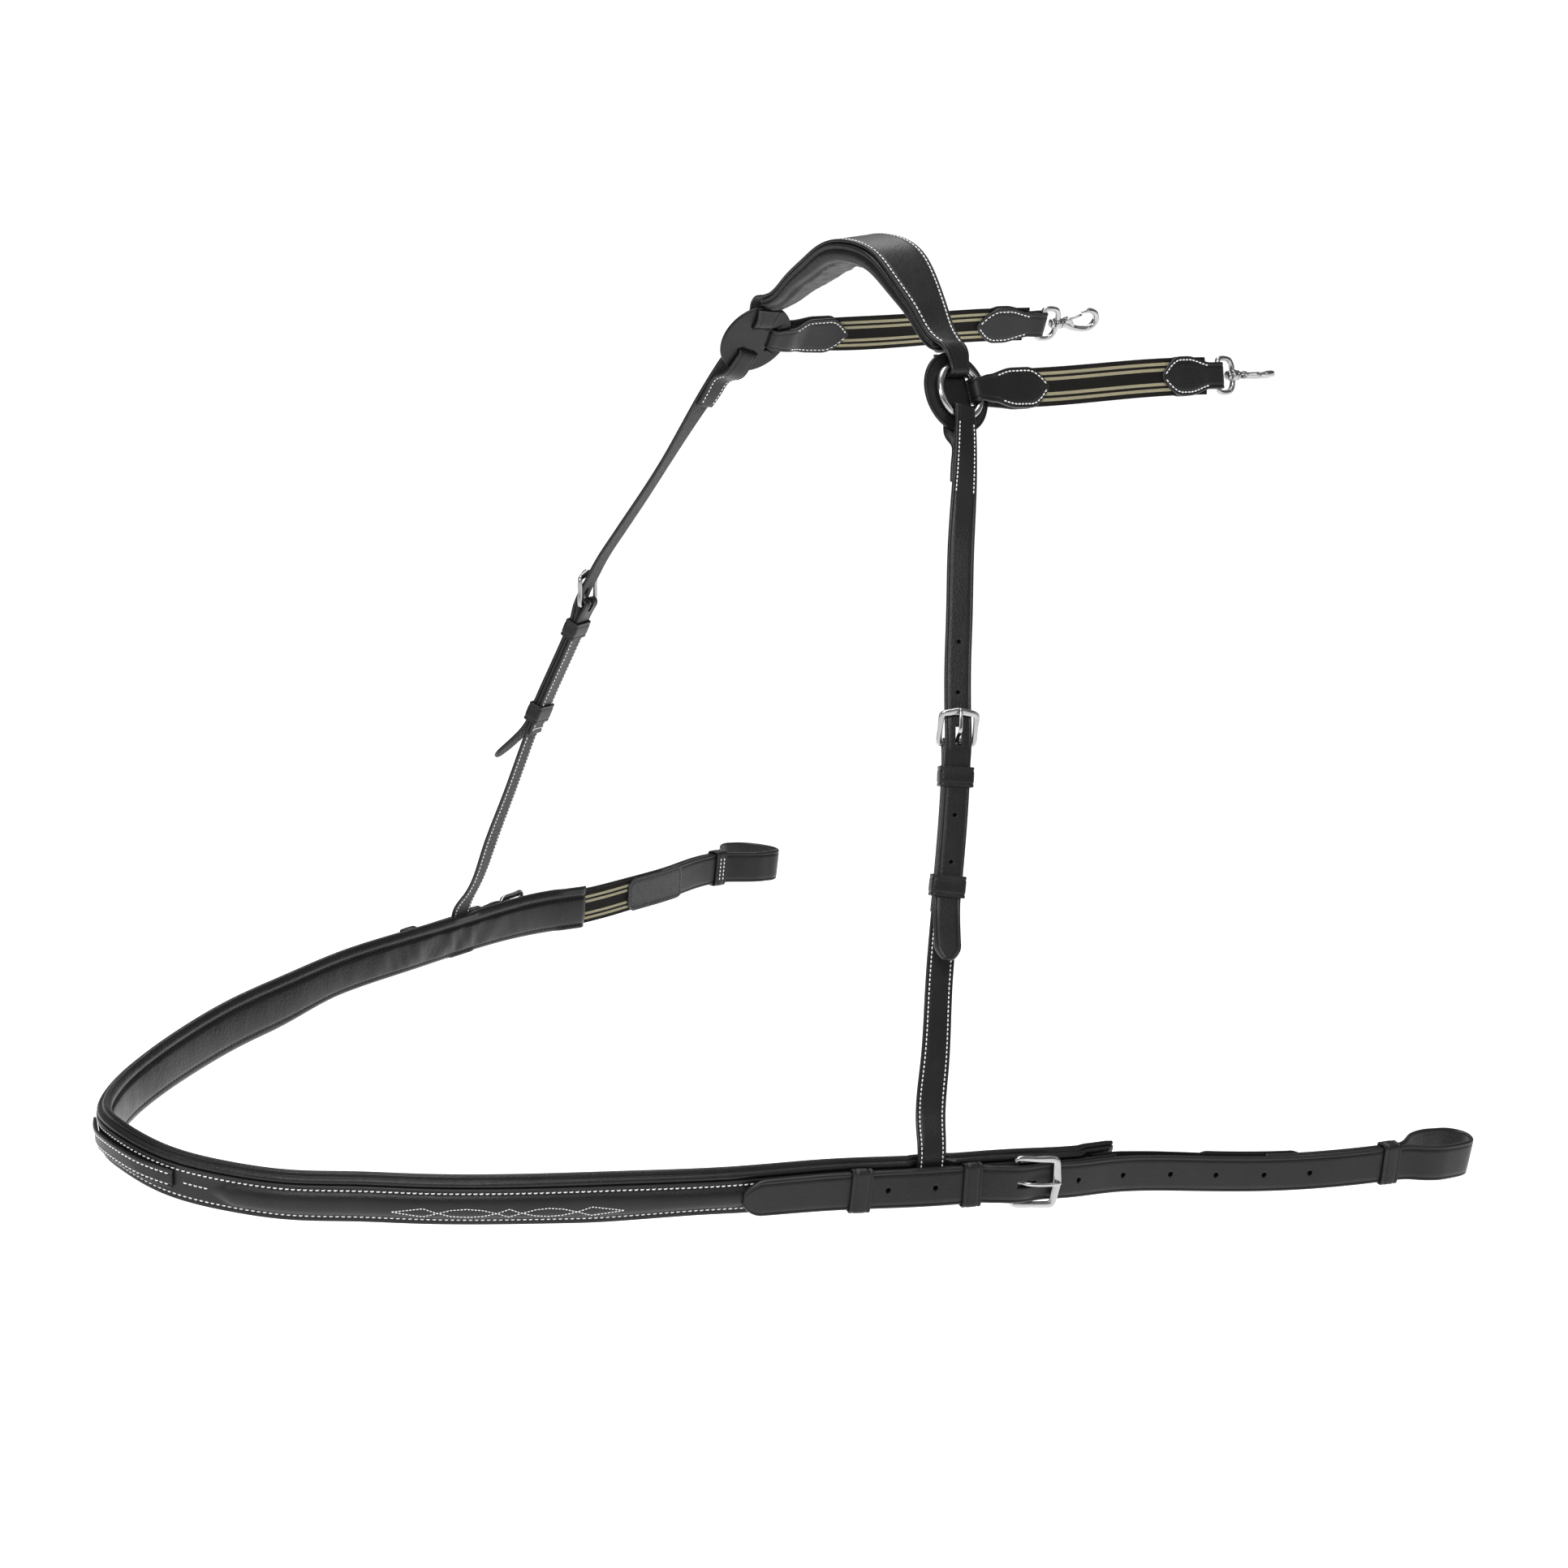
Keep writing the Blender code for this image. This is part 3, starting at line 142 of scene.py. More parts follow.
# ------------------------------------------------------------ curve geometry
def spline(points, count=None, step=22.0, least=1):
    """Natural cubic spline through points.

    With count: that many samples evenly spread.  Without: every given point,
    and as many between two of them as keep the samples within step.
    """
    p = np.array(points, float)
    t = np.concatenate([[0], np.cumsum(np.linalg.norm(np.diff(p, axis=0), axis=1))])
    n = len(t)
    a = np.zeros((n, n))
    r = np.zeros(p.shape)
    a[0, 0] = a[-1, -1] = 1.0
    for i in range(1, n - 1):
        h0, h1 = t[i] - t[i - 1], t[i + 1] - t[i]
        a[i, i - 1], a[i, i], a[i, i + 1] = h0, 2 * (h0 + h1), h1
        r[i] = 6 * ((p[i + 1] - p[i]) / h1 - (p[i] - p[i - 1]) / h0)
    m = np.linalg.solve(a, r)
    if count:
        ts = np.linspace(0, t[-1], count)
    else:
        ts = [0.0]
        for i in range(n - 1):
            parts = max(least, math.ceil((t[i + 1] - t[i]) / step))
            ts.extend(t[i] + (t[i + 1] - t[i]) * (j + 1) / parts for j in range(parts))
        ts = np.array(ts)
    k = np.clip(np.searchsorted(t, ts, side="right") - 1, 0, n - 2)
    h = (t[k + 1] - t[k])[:, None]
    u = (ts - t[k])[:, None]
    v = h - u
    return (m[k] * v ** 3 + m[k + 1] * u ** 3) / (6 * h) \
        + (p[k] / h - m[k] * h / 6) * v + (p[k + 1] / h - m[k + 1] * h / 6) * u


def easy(points, step=22.0):
    """Smooth path that never swings past its points (monotone cubic)."""
    p = np.array(points, float)
    t = np.concatenate([[0], np.cumsum(np.linalg.norm(np.diff(p, axis=0), axis=1))])
    h = np.diff(t)[:, None]
    d = np.diff(p, axis=0) / h
    m = np.zeros(p.shape)
    m[0], m[-1] = d[0], d[-1]
    same = d[1:] * d[:-1] > 0
    w1, w2 = 2 * h[1:] + h[:-1], h[1:] + 2 * h[:-1]
    safe0, safe1 = np.where(same, d[:-1], 1.0), np.where(same, d[1:], 1.0)
    m[1:-1] = np.where(same, (w1 + w2) / (w1 / safe0 + w2 / safe1), 0.0)
    out = [tuple(p[0])]
    for i in range(len(h)):
        parts = max(1, math.ceil(h[i][0] / step))
        for j in range(1, parts + 1):
            u = j / parts
            q = (2 * u ** 3 - 3 * u ** 2 + 1) * p[i] + (u ** 3 - 2 * u ** 2 + u) * h[i] * m[i] \
                + (3 * u ** 2 - 2 * u ** 3) * p[i + 1] + (u ** 3 - u ** 2) * h[i] * m[i + 1]
            out.append(tuple(q))
    return out


def unit(v):
    v = np.asarray(v, float)
    return v / np.linalg.norm(v, axis=-1, keepdims=True)


class Ribbon:
    """A smooth run with a tangent, a width direction and an outward normal."""

    def __init__(self, points, across, samples=900):
        self.p = spline(points, samples)
        step = np.linalg.norm(np.diff(self.p, axis=0), axis=1)
        self.s = np.concatenate([[0], np.cumsum(step)])
        self.t = unit(np.gradient(self.p, self.s, axis=0))
        a = spline([tuple(pt) + tuple(ac) for pt, ac in zip(points, across)], samples)[:, 3:]
        a = a - self.t * np.sum(a * self.t, axis=1, keepdims=True)
        self.w = unit(a)
        self.n = np.cross(self.t, self.w)
        self.length = self.s[-1]

    def frame(self, s):
        c = min(max(s, 0.0), self.length)
        p, t, w, n = ([np.interp(c, self.s, q[:, i]) for i in range(3)]
                      for q in (self.p, self.t, self.w, self.n))
        p, t = np.array(p), unit(t)
        w = unit(np.array(w) - t * np.dot(w, t))
        return p + t * (s - c), t, w, np.cross(t, w)

    def at(self, s, w, n):
        p, t, wd, nd = self.frame(s)
        return p + wd * w + nd * n

    def s_at_y(self, y, lo=0.0, hi=None):
        hi = self.length if hi is None else hi
        keep = (self.s >= lo) & (self.s <= hi)
        return float(self.s[keep][np.argmin(abs(self.p[keep][:, 1] - y))])


def mix(a, b, u):
    u = min(max(u, 0.0), 1.0)
    return a + (b - a) * u * u * (3 - 2 * u)


def arc(cs, cn, r, a0, a1, count):
    return [(cs + r * math.cos(a), cn + r * math.sin(a))
            for a in np.radians(np.linspace(a0, a1, count))]


# ---------------------------------------------------------------- the frames
def mirrored(route):
    return [(-x, y, z) for x, y, z in route[:0:-1]] + list(route)


def band_across(route):
    """Width direction of the band: up, leaning outward."""
    p = np.array(route, float)
    t = np.gradient(p, axis=0)
    t[:, 2] = 0
    t = unit(t)
    out = []
    half = len(route) // 2
    for i, d in enumerate(t):
        tilt = math.radians(BAND_TILT[abs(i - half)])
        normal = np.array([d[1], -d[0], 0])
        out.append(np.array([0, 0, 1]) * math.cos(tilt) + normal * math.sin(tilt))
    return out


def ring_axes():
    az, el = math.radians(RING_AZ), math.radians(RING_EL)
    n = np.array([math.cos(az) * math.cos(el), math.sin(az) * math.cos(el), math.sin(el)])
    h = unit(np.array([0, 1, 0]) - n * n[1])
    return n, h, np.cross(n, h)


RING_N, RING_H, RING_V = ring_axes()


def band_ribbon():
    route = mirrored(BAND_ROUTE)
    return Ribbon(route, band_across(route), 2400)


def girth_ribbon(tail):
    full = mirrored(BAND_ROUTE)
    across = band_across(full)
    half = len(full) // 2
    route = list(BAND_ROUTE) + list(tail)
    side = [tuple(a) for a in across[half:]] + [(0.03, 0, 1)] * len(tail)
    return Ribbon(route, side, 1800)


def to_plane(direction):
    d = np.asarray(direction, float)
    return unit(d - RING_N * np.dot(d, RING_N))


def neck_ribbon(band):
    c = np.array(RING_CENTRE)
    down = to_plane(np.array(NECK_ROUTE[2]) - c)
    s = band.length / 2 + BAND_NECK_S
    p, t, w, n = band.frame(s)
    foot = [band.at(s, 20, -1.5), band.at(s, 10, -1.35), band.at(s, -10, -1.35)]
    route = [tuple(c), tuple(c + down * 22), tuple(c + down * 44)] \
        + [tuple(q) for q in NECK_ROUTE[2:]] + [tuple(q) for q in foot]
    w0 = np.cross(RING_N, down)
    mid = unit(np.array([0.42, 0.91, 0.0]))
    across = [w0, w0, unit(w0 + mid * 0.3)] + [mid] * (len(NECK_ROUTE) - 2) + [t, t, t]
    return Ribbon(route, across, 1500)


def saddle_ribbon(route):
    c = np.array(RING_CENTRE)
    rear = to_plane(np.array(route[3]) - c)
    pts = [tuple(c + rear * d) for d in (0, 10, 20, 30)] + [tuple(q) for q in route[3:]]
    w0 = np.cross(RING_N, rear)
    lean = unit([-0.25, 0, 0.97])
    across = [w0] * 4 + [lean] * (len(route) - 3)
    return Ribbon(pts, across, 1200)


def pad_ribbon():
    c = np.array(RING_CENTRE)
    up = to_plane(np.array(PAD_ROUTE[-2]) - c)
    half = [np.array(q, float) for q in PAD_ROUTE[:-2]] + [c + up * 28, c + up * 19, c + up * 9, c]
    w0 = np.cross(-up, RING_N) * -1
    route, across = [], []
    n = len(half)
    for i in range(n - 1, 0, -1):
        route.append(tuple(half[i] * (-1, 1, 1)))
        a = w0 * (-1, 1, 1) if i >= n - 4 else (0, 1, 0)
        across.append(a)
    for i in range(n):
        route.append(tuple(half[i]))
        across.append(w0 if i >= n - 4 else (0, 1, 0))
    return Ribbon(route, across, 1500)


BAND_HALF = 0.0
BAND_NECK_S = 0.0


# ------------------------------------------------------------------ the parts
def relief(s):
    """How far the band's lining gives way where a strap lies on it."""
    a = abs(s)
    neck = mix(0, 1, (15.5 - abs(a - BAND_NECK_S)) / 4.0) if abs(a - BAND_NECK_S) < 15.5 else 0
    rear = mix(0, 1, (a - (BAND_HALF - 30)) / 8.0)
    return 3.0 * max(neck, rear)


def fold(seat, front, rear, s_out):
    """Turn of a strap round the ring wire and the guard's rim."""
    m, h = (front + rear) / 2, (front - rear) / 2
    r = 2.6
    pts = [(seat + r + 1.5, front)]
    pts += arc(seat + r, front - r, r, 90, 180, 4)
    pts += arc(seat + r, rear + r, r, 180, 270, 4)
    pts += [(s_out, rear)]
    return pts


SNAP_TURN = {"l": 90.0, "r": 0.0}       # how far each hook has swivelled
GATE_PIVOT = (24.0, 2.9)


# ============================================================ the materials
def new_material(name, colour, rough, metal=0.0, spec=0.5, coat=0.0, coat_rough=0.2, sheen=0.0):
    mat = bpy.data.materials.new(name)
    mat.use_nodes = True
    p = mat.node_tree.nodes["Principled BSDF"]
    p.inputs["Base Color"].default_value = (*colour, 1)
    p.inputs["Roughness"].default_value = rough
    p.inputs["Metallic"].default_value = metal
    p.inputs["Specular IOR Level"].default_value = spec
    p.inputs["Coat Weight"].default_value = coat
    p.inputs["Coat Roughness"].default_value = coat_rough
    p.inputs["Sheen Weight"].default_value = sheen
    p.inputs["Sheen Roughness"].default_value = 0.5
    return mat, mat.node_tree, p


def ramp(tree, factor, stops):
    node = tree.nodes.new("ShaderNodeValToRGB")
    els = node.color_ramp.elements
    els[0].position, els[0].color = stops[0][0], (*stops[0][1], 1)
    els[1].position, els[1].color = stops[-1][0], (*stops[-1][1], 1)
    for pos, col in stops[1:-1]:
        e = els.new(pos)
        e.color = (*col, 1)
    tree.links.new(factor, node.inputs["Fac"])
    return node.outputs["Color"]


def object_coords(tree):
    return tree.nodes.new("ShaderNodeTexCoord").outputs["Object"]


def noise(tree, coords, scale, detail=3.0, rough=0.55):
    node = tree.nodes.new("ShaderNodeTexNoise")
    node.inputs["Scale"].default_value = scale
    node.inputs["Detail"].default_value = detail
    node.inputs["Roughness"].default_value = rough
    tree.links.new(coords, node.inputs["Vector"])
    return node.outputs["Fac"]


def cells(tree, coords, scale, feature="F1", smooth=0.6):
    node = tree.nodes.new("ShaderNodeTexVoronoi")
    node.feature = "SMOOTH_F1" if feature == "F1" else feature
    node.inputs["Scale"].default_value = scale
    if feature == "F1":
        node.inputs["Smoothness"].default_value = smooth
    tree.links.new(coords, node.inputs["Vector"])
    return node.outputs["Distance"]


def combine(tree, op, a, b):
    node = tree.nodes.new("ShaderNodeMath")
    node.operation = op
    for i, v in enumerate((a, b)):
        if isinstance(v, (int, float)):
            node.inputs[i].default_value = v
        else:
            tree.links.new(v, node.inputs[i])
    return node.outputs[0]


def bump(tree, shader, height, distance, strength=1.0):
    node = tree.nodes.new("ShaderNodeBump")
    node.inputs["Distance"].default_value = distance
    node.inputs["Strength"].default_value = strength
    tree.links.new(height, node.inputs["Height"])
    tree.links.new(node.outputs["Normal"], shader.inputs["Normal"])


def leather(name, dark, light, rough, grain=0.00012, scale=850.0, spread=0.10, spec=0.45, fold=0.0):
    """Pigmented leather: fine cell grain with pores, faint colour and gloss variation."""
    mat, tree, p = new_material(name, light, rough, spec=spec)
    co = object_coords(tree)
    broad = noise(tree, co, 38.0, 4.0)
    tree.links.new(ramp(tree, broad, [(0.3, dark), (0.7, light)]), p.inputs["Base Color"])
    gloss = noise(tree, co, 140.0, 3.0)
    r = tree.nodes.new("ShaderNodeMapRange")
    r.inputs["To Min"].default_value = rough - spread / 2
    r.inputs["To Max"].default_value = rough + spread
    tree.links.new(gloss, r.inputs["Value"])
    tree.links.new(r.outputs["Result"], p.inputs["Roughness"])
    fine = cells(tree, co, scale)
    pores = noise(tree, co, scale * 2.6, 2.0)
    height = combine(tree, "ADD", fine, combine(tree, "MULTIPLY", pores, 0.5))
    if fold:
        height = combine(tree, "ADD", height, combine(tree, "MULTIPLY", noise(tree, co, 95.0, 3.0), fold))
    bump(tree, p, height, grain)
    return mat


def suede(name, dark, light, rough=0.85):
    """The flesh side of leather: short matted fibre."""
    mat, tree, p = new_material(name, light, rough, spec=0.25, sheen=0.25)
    co = object_coords(tree)
    clumps = noise(tree, co, 420.0, 6.0, 0.7)
    tree.links.new(ramp(tree, clumps, [(0.32, dark), (0.68, light)]), p.inputs["Base Color"])
    height = combine(tree, "ADD", noise(tree, co, 700.0, 5.0, 0.75), combine(tree, "MULTIPLY", clumps, 0.8))
    bump(tree, p, height, 0.0006)
    return mat


def thread(name, colour, rough=0.6):
    """Waxed twisted thread."""
    mat, tree, p = new_material(name, colour, rough, spec=0.35, sheen=0.15)
    co = object_coords(tree)
    twist = noise(tree, co, 1500.0, 2.0)
    dark = tuple(c * 0.74 for c in colour)
    tree.links.new(ramp(tree, twist, [(0.3, dark), (0.6, colour)]), p.inputs["Base Color"])
    bump(tree, p, twist, 0.00012)
    return mat


def webbing(name, dark, light, rib, depth, rough=0.8, across=True, ribs=1.0):
    """Woven elastic: weft ribs across the tape over warp cords along it (UV in millimetres)."""
    mat, tree, p = new_material(name, light, rough, spec=0.16)
    uv = tree.nodes.new("ShaderNodeUVMap").outputs["UV"]
    weft = tree.nodes.new("ShaderNodeTexWave")
    weft.wave_type, weft.bands_direction, weft.wave_profile = "BANDS", "X", "SIN"
    weft.inputs["Scale"].default_value = rib
    weft.inputs["Distortion"].default_value = 0.9
    weft.inputs["Detail"].default_value = 2.0
    weft.inputs["Detail Scale"].default_value = 2.2
    tree.links.new(uv, weft.inputs["Vector"])
    warp = tree.nodes.new("ShaderNodeTexWave")
    warp.wave_type, warp.bands_direction, warp.wave_profile = "BANDS", "Y", "SIN"
    warp.inputs["Scale"].default_value = rib * ribs
    warp.inputs["Distortion"].default_value = 0.5
    tree.links.new(uv, warp.inputs["Vector"])
    fibre = noise(tree, uv, 6.5, 4.0, 0.7)
    weave = combine(tree, "MULTIPLY", weft.outputs["Fac"], combine(tree, "ADD", combine(tree, "MULTIPLY", warp.outputs["Fac"], 0.6), 0.4))
    shade = combine(tree, "ADD", combine(tree, "MULTIPLY", weave, 0.55), combine(tree, "MULTIPLY", fibre, 0.55))
    tree.links.new(ramp(tree, shade, [(0.22, dark), (0.72, light)]), p.inputs["Base Color"])
    bump(tree, p, combine(tree, "ADD", weave, combine(tree, "MULTIPLY", fibre, 0.5)), depth)
    return mat


def polished(name, colour, rough):
    """Polished stainless steel with the faint waviness of a buffed casting."""
    mat, tree, p = new_material(name, colour, rough, metal=1.0)
    co = object_coords(tree)
    wear = noise(tree, co, 160.0, 3.0)
    r = tree.nodes.new("ShaderNodeMapRange")
    r.inputs["To Min"].default_value = rough * 0.7
    r.inputs["To Max"].default_value = rough * 1.7
    tree.links.new(wear, r.inputs["Value"])
    tree.links.new(r.outputs["Result"], p.inputs["Roughness"])
    tint = tuple(c * 0.9 for c in colour)
    tree.links.new(ramp(tree, noise(tree, co, 120.0, 2.0), [(0.35, tint), (0.65, colour)]), p.inputs["Base Color"])
    return mat


BLACK = leather("bridle_leather", (0.0080, 0.0080, 0.0085), (0.0125, 0.0125, 0.0130), 0.36, spec=0.27)
EDGE = leather("burnished_edge", (0.008, 0.008, 0.0085), (0.013, 0.013, 0.0135), 0.33, grain=0.00006, spec=0.42)
SOFT = leather("padded_nappa", (0.0070, 0.0070, 0.0075), (0.0110, 0.0110, 0.0115), 0.33, grain=0.00016, scale=620.0, fold=1.6, spec=0.30)
FLESH = suede("flesh_side", (0.012, 0.012, 0.0125), (0.034, 0.034, 0.035))
# crease grooves: glossier burnished leather, and darker in colour, which is painted shade in the groove
CREASE_SHADE = leather("crease_painted_shade", (0.006, 0.006, 0.0062), (0.009, 0.009, 0.0092), 0.33, grain=0.00004, spec=0.3)
WHITE = thread("white_thread", (0.93, 0.93, 0.91))
DARKTHREAD = thread("black_thread", (0.020, 0.020, 0.021), 0.5)
WEAVE = webbing("black_elastic", (0.0035, 0.0033, 0.0028), (0.013, 0.012, 0.010), 0.42, 0.00025)
STRIPE = webbing("tan_stripe", (0.22, 0.20, 0.125), (0.56, 0.51, 0.34), 0.42, 0.0003)
STEEL = polished("polished_steel", (0.44, 0.44, 0.445), 0.17)
# near-black fill for the walls and floors of punched holes: painted shade in the recess
HOLE_SHADE = new_material("punched_hole_painted_shade", (0.004, 0.004, 0.004), 0.8, spec=0.1)[0]


# ============================================================ mesh building
def frames(ribbon, s):
    """Ribbon frames for many stations at once, run on straight past the ends."""
    s = np.asarray(s, float)
    c = np.clip(s, 0.0, ribbon.length)
    p, t, w = (np.stack([np.interp(c, ribbon.s, q[:, i]) for i in range(3)], axis=1)
               for q in (ribbon.p, ribbon.t, ribbon.w))
    t = unit(t)
    w = unit(w - t * np.sum(w * t, axis=1, keepdims=True))
    return p + t * (s - c)[:, None], t, w, np.cross(t, w)


def make(name, verts, faces, mats, sgn=1, face_mats=None, uvs=None, angle=None, body=None, nodes=(), slot=None):
    """One visible piece from vertices in millimetres."""
    v = np.array(verts, float).reshape(-1, 3) * (sgn, 1, 1) * MM
    mesh = bpy.data.meshes.new(name)
    if sgn < 0:
        faces = [tuple(reversed(f)) for f in faces]
    mesh.from_pydata(v.tolist(), [], [tuple(int(i) for i in f) for f in faces])
    mats = mats if isinstance(mats, (list, tuple)) else [mats]
    for m in mats:
        mesh.materials.append(m)
    if face_mats is not None:
        mesh.polygons.foreach_set("material_index", np.array(face_mats, np.int32))
    if uvs is not None:
        layer = mesh.uv_layers.new(name="UVMap")
        idx = np.empty(len(mesh.loops), np.int32)
        mesh.loops.foreach_get("vertex_index", idx)
        layer.data.foreach_set("uv", np.asarray(uvs, float)[idx].ravel())
    mesh.shade_smooth()
    if angle:
        mesh.set_sharp_from_angle(angle=math.radians(angle))
    mesh.update()
    obj = bpy.data.objects.new(name, mesh)
    bpy.context.scene.collection.objects.link(obj)
    if body:
        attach(obj, body)
    for n in nodes:
        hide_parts(n)
    return obj


def grid_faces(rows, cols, wrap_cols=True, wrap_rows=False, start=0):
    out = []
    for i in range(rows if wrap_rows else rows - 1):
        a, b = start + i * cols, start + ((i + 1) % rows) * cols
        for j in range(cols if wrap_cols else cols - 1):
            k = (j + 1) % cols
            out.append((a + j, a + k, b + k, b + j))
    return out


def section(half, h, lines=(), under=(), radius=0.7, crown=0.0, cols=6):
    """Cross-section of a strap, from the left of the underside round to the top left.

    lines are (distance from the edge, half width, depth) of creases on the
    face; under the same on the underside.  The number of points does not
    change with the width.  Returns points and zone of each side that follows
    a point: 0 face, 1 edge, 2 underside, 3 crease.
    """
    r = min(radius, h * 0.95, half * 0.45)
    fit = min(1.0, half / 5.0)

    def columns(creases):
        left = [(-half + r, 0.0)]
        inner = half - r
        for off, hw, depth in creases:
            off = r + (off - r) * fit
            off = min(max(off, r + 0.05 * half), half * 0.6)
            hw = min(hw * fit, (off - r) * 0.8, half * 0.2)
            c = half - off
            left += [(-c - hw, 0.0), (-c - hw * 0.45, depth * fit), (-c + hw * 0.45, depth * fit), (-c + hw, 0.0)]
            inner = c - hw
        centre = [(x, 0.0) for x in np.linspace(-inner, inner, cols + 2)[1:-1]]
        right = [(-x, d) for x, d in left[::-1]]
        return left + centre + right

    pts, zones = [], []
    low = columns(under)
    for x, d in low:
        pts.append((x, -h + d))
        zones.append(2)
    zones[-1] = 1
    for a in (-60, -20, 20, 60):
        a = math.radians(a)
        pts.append((half - r + r * math.cos(a), (-h + r if a < 0 else h - r) + r * math.sin(a)))
        zones.append(1)
    top = columns(lines)[::-1]
    first = len(pts)
    for x, d in top:
        pts.append((x, h - d + crown * (1 - (x / half) ** 2)))
        zones.append(0)
    k = len(top)
    for m in range(len(lines)):
        for j in range(1 + 4 * m, 4 + 4 * m):
            zones[first + j] = 3
            zones[first + k - 2 - j] = 3
    zones[-1] = 1
    for a in (120, 160, 200, 240):
        a = math.radians(a)
        pts.append((-half + r + r * math.cos(a), (h - r if math.sin(a) > 0 else -h + r) + r * math.sin(a)))
        zones.append(1)
    return pts, zones


def fine_path(path, step=2.0):
    """The path of (s, n) points with smooth in-between points, and distances along it."""
    p = np.array(path, float)
    keep = np.concatenate([[True], np.linalg.norm(np.diff(p, axis=0), axis=1) > 1e-6])
    p = p[keep]
    q = spline([tuple(x) + (0.0,) for x in p], step=step)[:, :2]
    d = np.concatenate([[0], np.cumsum(np.linalg.norm(np.diff(q, axis=0), axis=1))])
    return q, d


def strap_mesh(ribbon, path, width, thick, lines=(), under=(), radius=0.7, crown=0.0, step=2.0, cols=6, wave=None):
    """A strap with rounded edges along a path.  Returns verts, faces, zones, uvs and a locator."""
    q, d = fine_path(path, step)
    coarse = np.array(path, float)
    cd = np.concatenate([[0], np.cumsum(np.linalg.norm(np.diff(coarse, axis=0), axis=1))])
    cd = cd * d[-1] / cd[-1]
    wid = width(q, d) if callable(width) else (np.interp(d, cd, width) if hasattr(width, "__len__") else np.full(len(q), float(width)))
    # the two cut ends are rounded over by a station just inside each
    q = np.concatenate([q[:1], q[:1] + (q[1:2] - q[:1]) * 0.25, q[1:-1], q[-1:] + (q[-2:-1] - q[-1:]) * 0.25, q[-1:]])
    d2 = np.concatenate([[0], np.cumsum(np.linalg.norm(np.diff(q, axis=0), axis=1))])
    wid = np.interp(d2, d * d2[-1] / d[-1], wid)
    th = np.full(len(q), thick / 2.0)
    th[0] = th[-1] = thick * 0.3
    g = np.gradient(q, d2, axis=0)
    g = g / np.linalg.norm(g, axis=1, keepdims=True)
    p, t, w, n = frames(ribbon, q[:, 0])
    nrm = n * g[:, :1] - t * g[:, 1:2]              # strap's own outward direction
    rows, zone, uvs = [], None, []
    for i in range(len(q)):
        pts, zone = section(max(wid[i] / 2, 0.6), th[i], lines, under, radius, crown, cols)
        a = np.array(pts)
        base = p[i] + n[i] * q[i, 1]
        if wave is not None:
            a = a + wave(d2[i], a)
        rows.append(base + w[i] * a[:, :1] + nrm[i] * a[:, 1:2])
        uvs.extend((d2[i], x) for x in a[:, 0])
    k = len(rows[0])
    verts = np.concatenate(rows)
    faces = grid_faces(len(rows), k)
    zones = [zone[j] for _ in range(len(rows) - 1) for j in range(k)]
    faces.append(tuple(range(k))[::-1])
    faces.append(tuple((len(rows) - 1) * k + j for j in range(k)))
    zones += [1, 1]

    def locate(dist, across, out=0.0):
        """Points on the strap at distances along its path, and the outward direction there."""
        dist = np.asarray(dist, float)
        s = np.interp(dist, d2, q[:, 0])
        m = np.interp(dist, d2, q[:, 1])
        gs = np.stack([np.interp(dist, d2, g[:, 0]), np.interp(dist, d2, g[:, 1])], axis=1)
        gs = gs / np.linalg.norm(gs, axis=1, keepdims=True)
        pp, tt, ww, nn = frames(ribbon, s)
        o = nn * gs[:, :1] - tt * gs[:, 1:2]
        across = np.asarray(across, float)
        across = np.broadcast_to(across, dist.shape)
        return pp + nn * m[:, None] + ww * across[:, None] + o * out, o

    locate.length = float(d2[-1])
    locate.width = lambda x: np.interp(x, d2, wid)
    locate.at_s = lambda s, lo=0.0, hi=1e9: float(d2[(d2 >= lo) & (d2 <= hi)][np.argmin(abs(q[(d2 >= lo) & (d2 <= hi), 0] - s))])
    return verts, faces, zones, np.array(uvs), locate


def stitch_line(points, ups, pitch=3.6, fill=0.66, r=0.45, lift=0.25, sides=6, slant=0.0, closed=False):
    """Thread stitches laid along a line: one small bowed rod for each."""
    p = np.array(points, float)
    step = np.linalg.norm(np.diff(p, axis=0), axis=1)
    d = np.concatenate([[0], np.cumsum(step)])
    count = max(1, int(round(d[-1] / pitch)))
    real = d[-1] / count
    along = np.array([-0.5, -0.32, 0.0, 0.32, 0.5]) * fill * real
    drop = np.array([-0.75, -0.05, 0.18, -0.05, -0.75]) * r + lift * 0.0
    size = np.array([0.55, 0.95, 1.0, 0.95, 0.55])
    mids = (np.arange(count) + 0.5) * real
    at = (mids[:, None] + along[None, :]).ravel()
    pos = np.stack([np.interp(at, d, p[:, i]) for i in range(3)], axis=1)
    up = unit(np.stack([np.interp(at, d, np.asarray(ups)[:, i]) for i in range(3)], axis=1))
    eps = 0.4
    fwd = unit(np.stack([np.interp(at + eps, d, p[:, i]) - np.interp(at - eps, d, p[:, i]) for i in range(3)], axis=1) + 1e-9)
    side = unit(np.cross(up, fwd))
    k = len(along)
    drop = np.tile(drop, count)[:, None]
    size = np.tile(size, count)[:, None]
    pos = pos + up * (drop + lift) + side * (np.tile(along, count)[:, None] * slant)
    ang = 2 * math.pi * (np.arange(sides) + 0.5) / sides
    ring = (up[:, None, :] * np.cos(ang)[None, :, None] * 0.85 + side[:, None, :] * np.sin(ang)[None, :, None]) * r * size[:, :, None]
    verts = (pos[:, None, :] + ring).reshape(-1, 3)
    faces = []
    for c in range(count):
        base = c * k * sides
        faces += grid_faces(k, sides, start=base)
        faces.append(tuple(base + j for j in range(sides))[::-1])
        faces.append(tuple(base + (k - 1) * sides + j for j in range(sides)))
    return verts, faces


